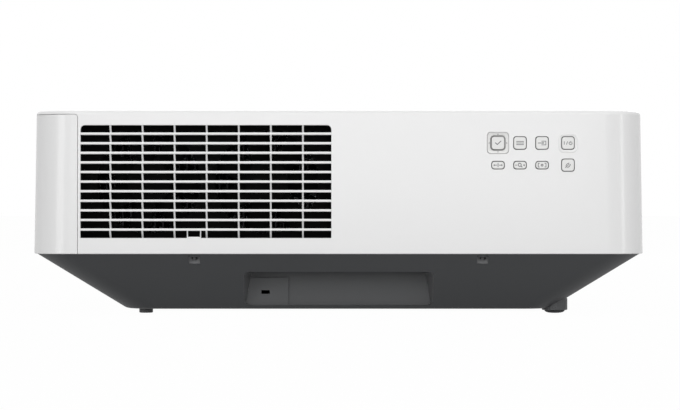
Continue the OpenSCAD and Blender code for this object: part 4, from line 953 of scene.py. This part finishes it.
def marks():
    """Each key's pictogram, drawn from plain generic signs."""
    tick = Ink().stroke([(-2.2, 0.2), (-0.6, -1.2), (2.4, 1.5)], 0.6)
    menu = Ink()
    for y in (-1.3, 0, 1.3):
        menu.stroke([(-2.9, y), (2.9, y)], 0.5)
    source = Ink().stroke([(-0.4, 1.5), (3.1, 1.5), (3.1, -1.5), (-0.4, -1.5)])
    source.stroke([(-3.2, 0), (0.6, 0)], 0.5)
    arrow(source, (1.8, 0), (1, 0), 1.3)
    power = Ink().stroke([(-3.1, -1.2), (-3.1, 1.2)]).stroke([(-1.3, -1.2), (-0.4, 1.2)], 0.4)
    power.arc((2.1, -0.1), 1.25, 125, 415, 0.42).stroke([(2.1, 0.2), (2.1, 1.5)], 0.42)
    shift = Ink().stroke([(-3.0, 0), (-0.9, 0)]).stroke([(0.9, 0), (3.0, 0)])
    arrow(shift, (-3.9, 0), (-1, 0), 1.1)
    arrow(shift, (3.9, 0), (1, 0), 1.1)
    shift.stroke([(0, -1.4), (0, 1.4)], 0.5)
    zoom = Ink().arc((-0.3, 0.25), 1.25, 0, 360, 0.45, 20).stroke([(0.7, -0.7), (1.7, -1.6)], 0.6)
    zoom.stroke([(-3.9, 0), (-2.7, 0)])
    zoom.stroke([(2.7, 0), (3.9, 0)]).stroke([(3.3, -0.6), (3.3, 0.6)])
    focus = Ink().arc((0, 0), 0.75, 0, 360, 0.5, 16)
    for s in (-1, 1):
        focus.stroke([(s * 2.2, 1.5), (s * 3.2, 1.5), (s * 3.2, -1.5), (s * 2.2, -1.5)])
    leaf = Ink()
    leaf.arc((-1.1, 1.1), 3.0, -80, -5).arc((1.3, -1.3), 3.0, 100, 175)
    leaf.stroke([(-2.2, -2.2), (1.0, 1.0)], 0.4)
    return {"key_enter": tick, "key_menu": menu, "key_input": source, "key_power": power,
            "key_shift": shift, "key_zoom": zoom, "key_focus": focus, "key_eco": leaf}


for key, ink in marks().items():
    mark = ink.mesh(key + "_mark", KEYS[key][0], KEYS[key][1], KEY_PROUD + 0.005)
    finish_piece(mark, LEGEND, key.replace("key_", "button_"), angle=30)

ARROW_TIP = 7.75                                     # from the pad's middle
pad_ink = Ink()
for dx, dy in ((1, 0), (-1, 0), (0, 1), (0, -1)):
    arrow(pad_ink, (ARROW_TIP * dx, ARROW_TIP * dy), (dx, dy), 0.8)
finish_piece(pad_ink.mesh("direction_pad_marks", KEY_U, KEY_V, -0.12, 0.05), LEGEND, "pad", angle=30)

# ---------------------------------------------------------------- dark pan

def pan_share(z):
    """0 at the pan's base and 1 at its top."""
    return (z - Z_BASE) / PAN_H


def pan_hx(z):
    """Half width of the pan at a height."""
    return BODY_W / 2 - PAN_INSET - SIDE_RUN * (1 - pan_share(z))


def pan_hy(z):
    """Half depth of the pan at a height."""
    return BODY_D / 2 - PAN_INSET - END_RUN * (1 - pan_share(z))


def pan_ring(z, ix, iy):
    """The pan's outline at a height, moved inward across and along."""
    r = PAN_CORNER_R + 3 * pan_share(z)
    return [(x, y, z) for x, y in outline(pan_hx(z) - ix, pan_hy(z) - iy, r - iy, 16)]


def pan_outer(name):
    """The pan's outside as a solid, with a rounded lower edge."""
    edge = [(0, 2.0), (0.18, 1.15), (0.5, 0.45), (1, 0.08), (1.5, 0), (PAN_H, 0)]
    return loft(name, [pan_ring(Z_BASE + rise, inset, inset) for rise, inset in edge])


def hold_space(grow):
    """The hand hold's hollow: mouth along the slope, upright back, sides that lean in."""
    over = 20                                        # how far the cutter runs past the slope
    flare = 0.19
    hx, hz = HOLD_W / 2 + over * flare + grow, (HOLD_Z1 - HOLD_Z0) / 2 + grow
    zc = (HOLD_Z0 + HOLD_Z1) / 2
    back = HOLD_BACK + grow
    mouth = [(x, -pan_hy(zc + y) - over, zc + y) for x, y in outline(hx, hz, 4, 8)]
    end = [(x * (1 - flare * (back - y) / hx), back, z) for x, y, z in mouth]
    return loft("hold", [end, mouth])


def notch_places():
    """Each screw pocket: its side's turn and distance, and its place along the side."""
    sides = ((0, BODY_D / 2, SCREW_X), (180, BODY_D / 2, SCREW_X), (90, BODY_W / 2, SCREW_Y))
    for turn, half, along in sides:
        for sign in (1, -1):
            yield Matrix.Rotation(math.radians(turn), 4, "Z"), half, sign * along


def notches(grow):
    """The screw pockets' hollows, grown by a wall for their outsides."""
    top = Z_SPLIT - PAN_RIM + (0.01 if grow else 0)
    parts = []
    for turned, half, x in notch_places():
        back = half - SCREW_INSET - 2.5
        parts.append(bar("notch", (x - NOTCH_W / 2 - grow, -half - 1, Z_SPLIT - NOTCH_DROP - grow),
                         (x + NOTCH_W / 2 + grow, -back + grow, top), turned))
    return join("notches", parts)


def notch_lips():
    """Cuts the rim back over every screw pocket."""
    parts = []
    for turned, half, x in notch_places():
        parts.append(bar("lip", (x - NOTCH_W / 2, -half - 1, Z_SPLIT - NOTCH_DROP),
                         (x + NOTCH_W / 2, -half + NOTCH_LIP, Z_SPLIT + 1), turned))
    return join("lips", parts)


def soften_mouth(obj, width, box):
    """Rounds the sharp edges of the outer faces inside a box."""
    bm = bmesh.new()
    bm.from_mesh(obj.data)
    low, high = Vector(box[0]) * MM, Vector(box[1]) * MM
    edges = []
    for e in bm.edges:
        if len(e.link_faces) != 2 or e.calc_face_angle(0) < math.radians(25):
            continue
        if all(low[i] <= v.co[i] <= high[i] for v in e.verts for i in range(3)):
            edges.append(e)
    bmesh.ops.bevel(bm, geom=edges, offset=width * MM, segments=3, profile=0.5, affect="EDGES",
                    clamp_overlap=True)
    bm.to_mesh(obj.data)
    bm.free()


def mount_places():
    """Each insert of the ceiling mount."""
    return [(x, y) for x in (-MOUNT_X, MOUNT_X) for y in (-MOUNT_Y, MOUNT_Y)]


# Radius and height pairs at a screw foot: the boss, and the well with its bore and nut pocket.
FOOT_BOSS = [(0, 0), (14.5, 0), (14.5, 17), (9, 17), (9, 30), (0, 30)]
FOOT_WELL = [(0, -1), (12, -1), (12, 14), (4.5, 14), (4.5, 18), (7, 18), (7, 60), (0, 60)]


def at_feet(name, profile, steps):
    """The same turned shape at both screw feet."""
    return [lathe(name, profile, Matrix.Translation((x, y, 0)), steps) for x, y in (REAR_FOOT, FRONT_FOOT)]


def pan_bosses():
    """Bosses for feet, ceiling mount and chassis, up from the pan's floor."""
    bosses = at_feet("boss", FOOT_BOSS, 48)
    bosses += [upright(MOUNT_BOSS_R, 0, MOUNT_BOSS_TOP, x, y) for x, y in mount_places()]
    for x in (-CHASSIS_BOSS_X, CHASSIS_BOSS_X):
        for y in (-CHASSIS_BOSS_Y, 0, CHASSIS_BOSS_Y):
            bosses.append(upright(CHASSIS_BOSS_R, 0, CHASSIS_BOSS_TOP, x, y, 24))
    return join("bosses", bosses)


def pan_wells():
    """Round openings of the pan: foot wells, mount inserts, fixed foot and screw bores."""
    wells = at_feet("foot well", FOOT_WELL, 64)
    wells += [upright(MOUNT_INSERT_R, Z_BASE - 1, Z_BASE + 10, x, y) for x, y in mount_places()]
    wells += [upright(FIXED_STEM_R + 0.05, Z_BASE - 1, Z_BASE + 2, *FIXED_FOOT)]
    wells += [upright(SCREW_BORE_R, Z_SPLIT - PAN_RIM - 1, Z_SPLIT + 1, x, y, 24) for x, y in screw_places()]
    return join("wells", wells)


def lock_slot():
    """The security slot's cutter."""
    w, h = LOCK_SLOT_W / 2, LOCK_SLOT_H / 2
    return bar("slot", (LOCK_SLOT_X - w, HOLD_BACK - 5, LOCK_SLOT_Z - h),
               (LOCK_SLOT_X + w, HOLD_BACK + 6, LOCK_SLOT_Z + h))


def build_pan():
    """The hollow sloped pan with its hand hold, screw pockets, bosses and wells."""
    ix = PAN_WALL * math.hypot(SIDE_RUN, PAN_H) / PAN_H
    iy = PAN_WALL * math.hypot(END_RUN, PAN_H) / PAN_H
    inner_top = Z_SPLIT - PAN_RIM
    pan = cut(pan_outer("bottom_pan_moulding"),
              loft("in", [pan_ring(Z_BASE + PAN_WALL, ix, iy), pan_ring(inner_top, ix, iy)]),
              loft("mouth", [rim_ring(inner_top - 1), rim_ring(Z_SPLIT + 1)]))
    for solid in (pan_bosses(), notches(PAN_WALL), hold_space(PAN_WALL)):
        add(pan, combine(solid, pan_outer("limit"), "INTERSECT"))
    block = bar("lock block", (-HOLD_W / 2 - 10, HOLD_BACK - LOCK_BLOCK_T, Z_BASE),
                (LOCK_X1, HOLD_BACK + 1, HOLD_Z1 - 5.5))
    cut(pan, cut(hold_space(0), block), notches(0), notch_lips(), lock_slot(), pan_wells())
    soften_mouth(pan, 0.5, ((-95, -200, HOLD_Z0 - 3), (95, HOLD_BACK + 0.5, HOLD_Z1 + 3)))
    for x in (-SCREW_X, SCREW_X):
        soften_mouth(pan, 0.3, ((x - 8, -201, Z_SPLIT - 10), (x + 8, -185, Z_SPLIT - 3.2)))
    return pan


def paint_hold_and_pocket_light(obj):
    """Painted light inside the hand hold: a smoother charcoal whose tone is set for the hollow's light, and
    lighter side walls; the screw pockets' back walls and floors are painted lighter still.
    """
    for look in (HOLD_SMOOTH_PAINTED_LIGHT, POCKET_PAINTED_LIGHT, HOLD_SIDE_PAINTED_LIGHT):
        obj.data.materials.append(look)
    for face in obj.data.polygons:
        c = face.center / MM
        if abs(-c.y - pan_hy(c.z)) < 0.3:
            continue                                 # the slope itself keeps its grain
        in_height = HOLD_Z0 - 0.5 < c.z < HOLD_Z1 + 0.5
        # painted light: the hold's faces take the smoother charcoal, its side walls the lighter one
        if abs(c.x) < HOLD_W / 2 + 5 and c.y < HOLD_BACK + 0.5 and in_height:
            face.material_index = 3 if abs(face.normal.x) > 0.7 else 1
        # painted light: the screw pockets' back walls and floors take the lighter grey
        in_height = Z_SPLIT - NOTCH_DROP - 0.1 < c.z < Z_SPLIT - PAN_RIM - 0.8
        if abs(abs(c.x) - SCREW_X) < NOTCH_W / 2 + 0.1 and c.y < -pan_hy(c.z) + 8 and in_height:
            face.material_index = 2


pan = finish_piece(build_pan(), CHARCOAL, "cabinet", ["bottom_pan"], angle=30)
paint_hold_and_pocket_light(pan)

# ---------------------------------------------------------------- feet

def dome_pad(name, at):
    """A foot's domed rubber pad with its plug."""
    profile = [(0, 0), (3.0, 0.02), (5.2, 0.25), (7.0, 0.75), (8.1, 1.4), (8.5, 2.0), (8.4, 2.2),
               (3, 2.2), (3, 7.5), (0, 7.5)]
    return lathe(name, profile, Matrix.Translation((at[0], at[1], 0)), 64)


def knob(name, at):
    """A screw foot's knob with shallow grips, on its stem."""
    z0, z1, radius = 2.5, 12.8, 10.7
    grips, grip_depth = 24, 0.16
    steps = grips * 6
    section = [(-0.7, z0), (-0.2, z0 + 0.15), (0.0, z0 + 0.6),
               (0.0, z1 - 0.9), (-0.3, z1 - 0.25), (-1.0, z1)]
    rings = []
    for g, z in section:
        ring = []
        for i in range(steps):
            a = 2 * math.pi * i / steps
            r = radius + g - grip_depth * max(0.0, math.cos(grips * a)) ** 3
            ring.append((at[0] + r * math.cos(a), at[1] + r * math.sin(a), z))
        rings.append(ring)
    return join(name, [loft(name, rings), upright(FOOT_STEM_R, z1 - 0.5, 34, *at)])


for end, at in (("rear", REAR_FOOT), ("front", FRONT_FOOT)):
    dome = dome_pad(end + "_foot_dome", at)
    finish_piece(dome, RUBBER, end + "_pad", [end + "_foot_pad"], angle=50)
    grip = knob(end + "_foot_knob", at)
    finish_piece(grip, KNOB, end + "_stud", [end + "_foot_stud"], angle=40)

STUB = [(0, 0), (5.0, 0), (5.5, 0.15), (5.8, 0.6), (5.8, 4.0),
        (FIXED_STEM_R, 4.0), (FIXED_STEM_R, 5.8), (0, 5.8)]
stub = lathe("fixed_foot_stub", STUB, Matrix.Translation((FIXED_FOOT[0], FIXED_FOOT[1], 0)), 48)
finish_piece(stub, KNOB, "cabinet", ["fixed_foot"], angle=50)

# ---------------------------------------------------------------- pieces carried over from the CAD

LOOKS = {
    "white_shell": WHITE, "key_white": KEY_WHITE, "dark_pan": CHARCOAL, "inner_black": INNER,
    "window_black": WINDOW, "filter": FILTER, "board": BOARD, "alloy": ALLOY, "steel": STEEL,
    "brass": BRASS, "glass": GLASS, "rubber": RUBBER, "black_steel": BLACK,
}
CARRIED_LOOKS = {                                    # pieces that differ from their slot's look
    "terminal_panel": BLACK, "lens_barrel": BLACK, "lens_bezel": BLACK, "ac_inlet": BLACK,
    "zoom_ring": BLACK, "focus_ring": BLACK, "zoom_pinion": BLACK, "focus_pinion": BLACK,
    "heatsink": DARK_ALLOY, "laser_bank": DARK_ALLOY, "chassis": DARK_ALLOY,
}
WELD_REACH, SOFT_EDGE = 0.000005, 0.0002             # metres


def carry_over():
    """Every CAD piece keeps its mesh, with soft edges and a material."""
    for part in frame["record"]["subparts"]:
        name = part["node"]
        node = NODES[name]
        node.data.materials.clear()
        node.data.materials.append(CARRIED_LOOKS.get(name, LOOKS[part["material_slot"]]))
        node.data.shade_smooth()
        node.data.set_sharp_from_angle(angle=math.radians(30))
        weld = node.modifiers.new("weld", "WELD")
        weld.merge_threshold = WELD_REACH
        bevel = node.modifiers.new("bevel", "BEVEL")
        bevel.width = SOFT_EDGE
        bevel.segments = 2
        bevel.limit_method = "ANGLE"
        bevel.angle_limit = math.radians(35)
        bevel.harden_normals = False


carry_over()
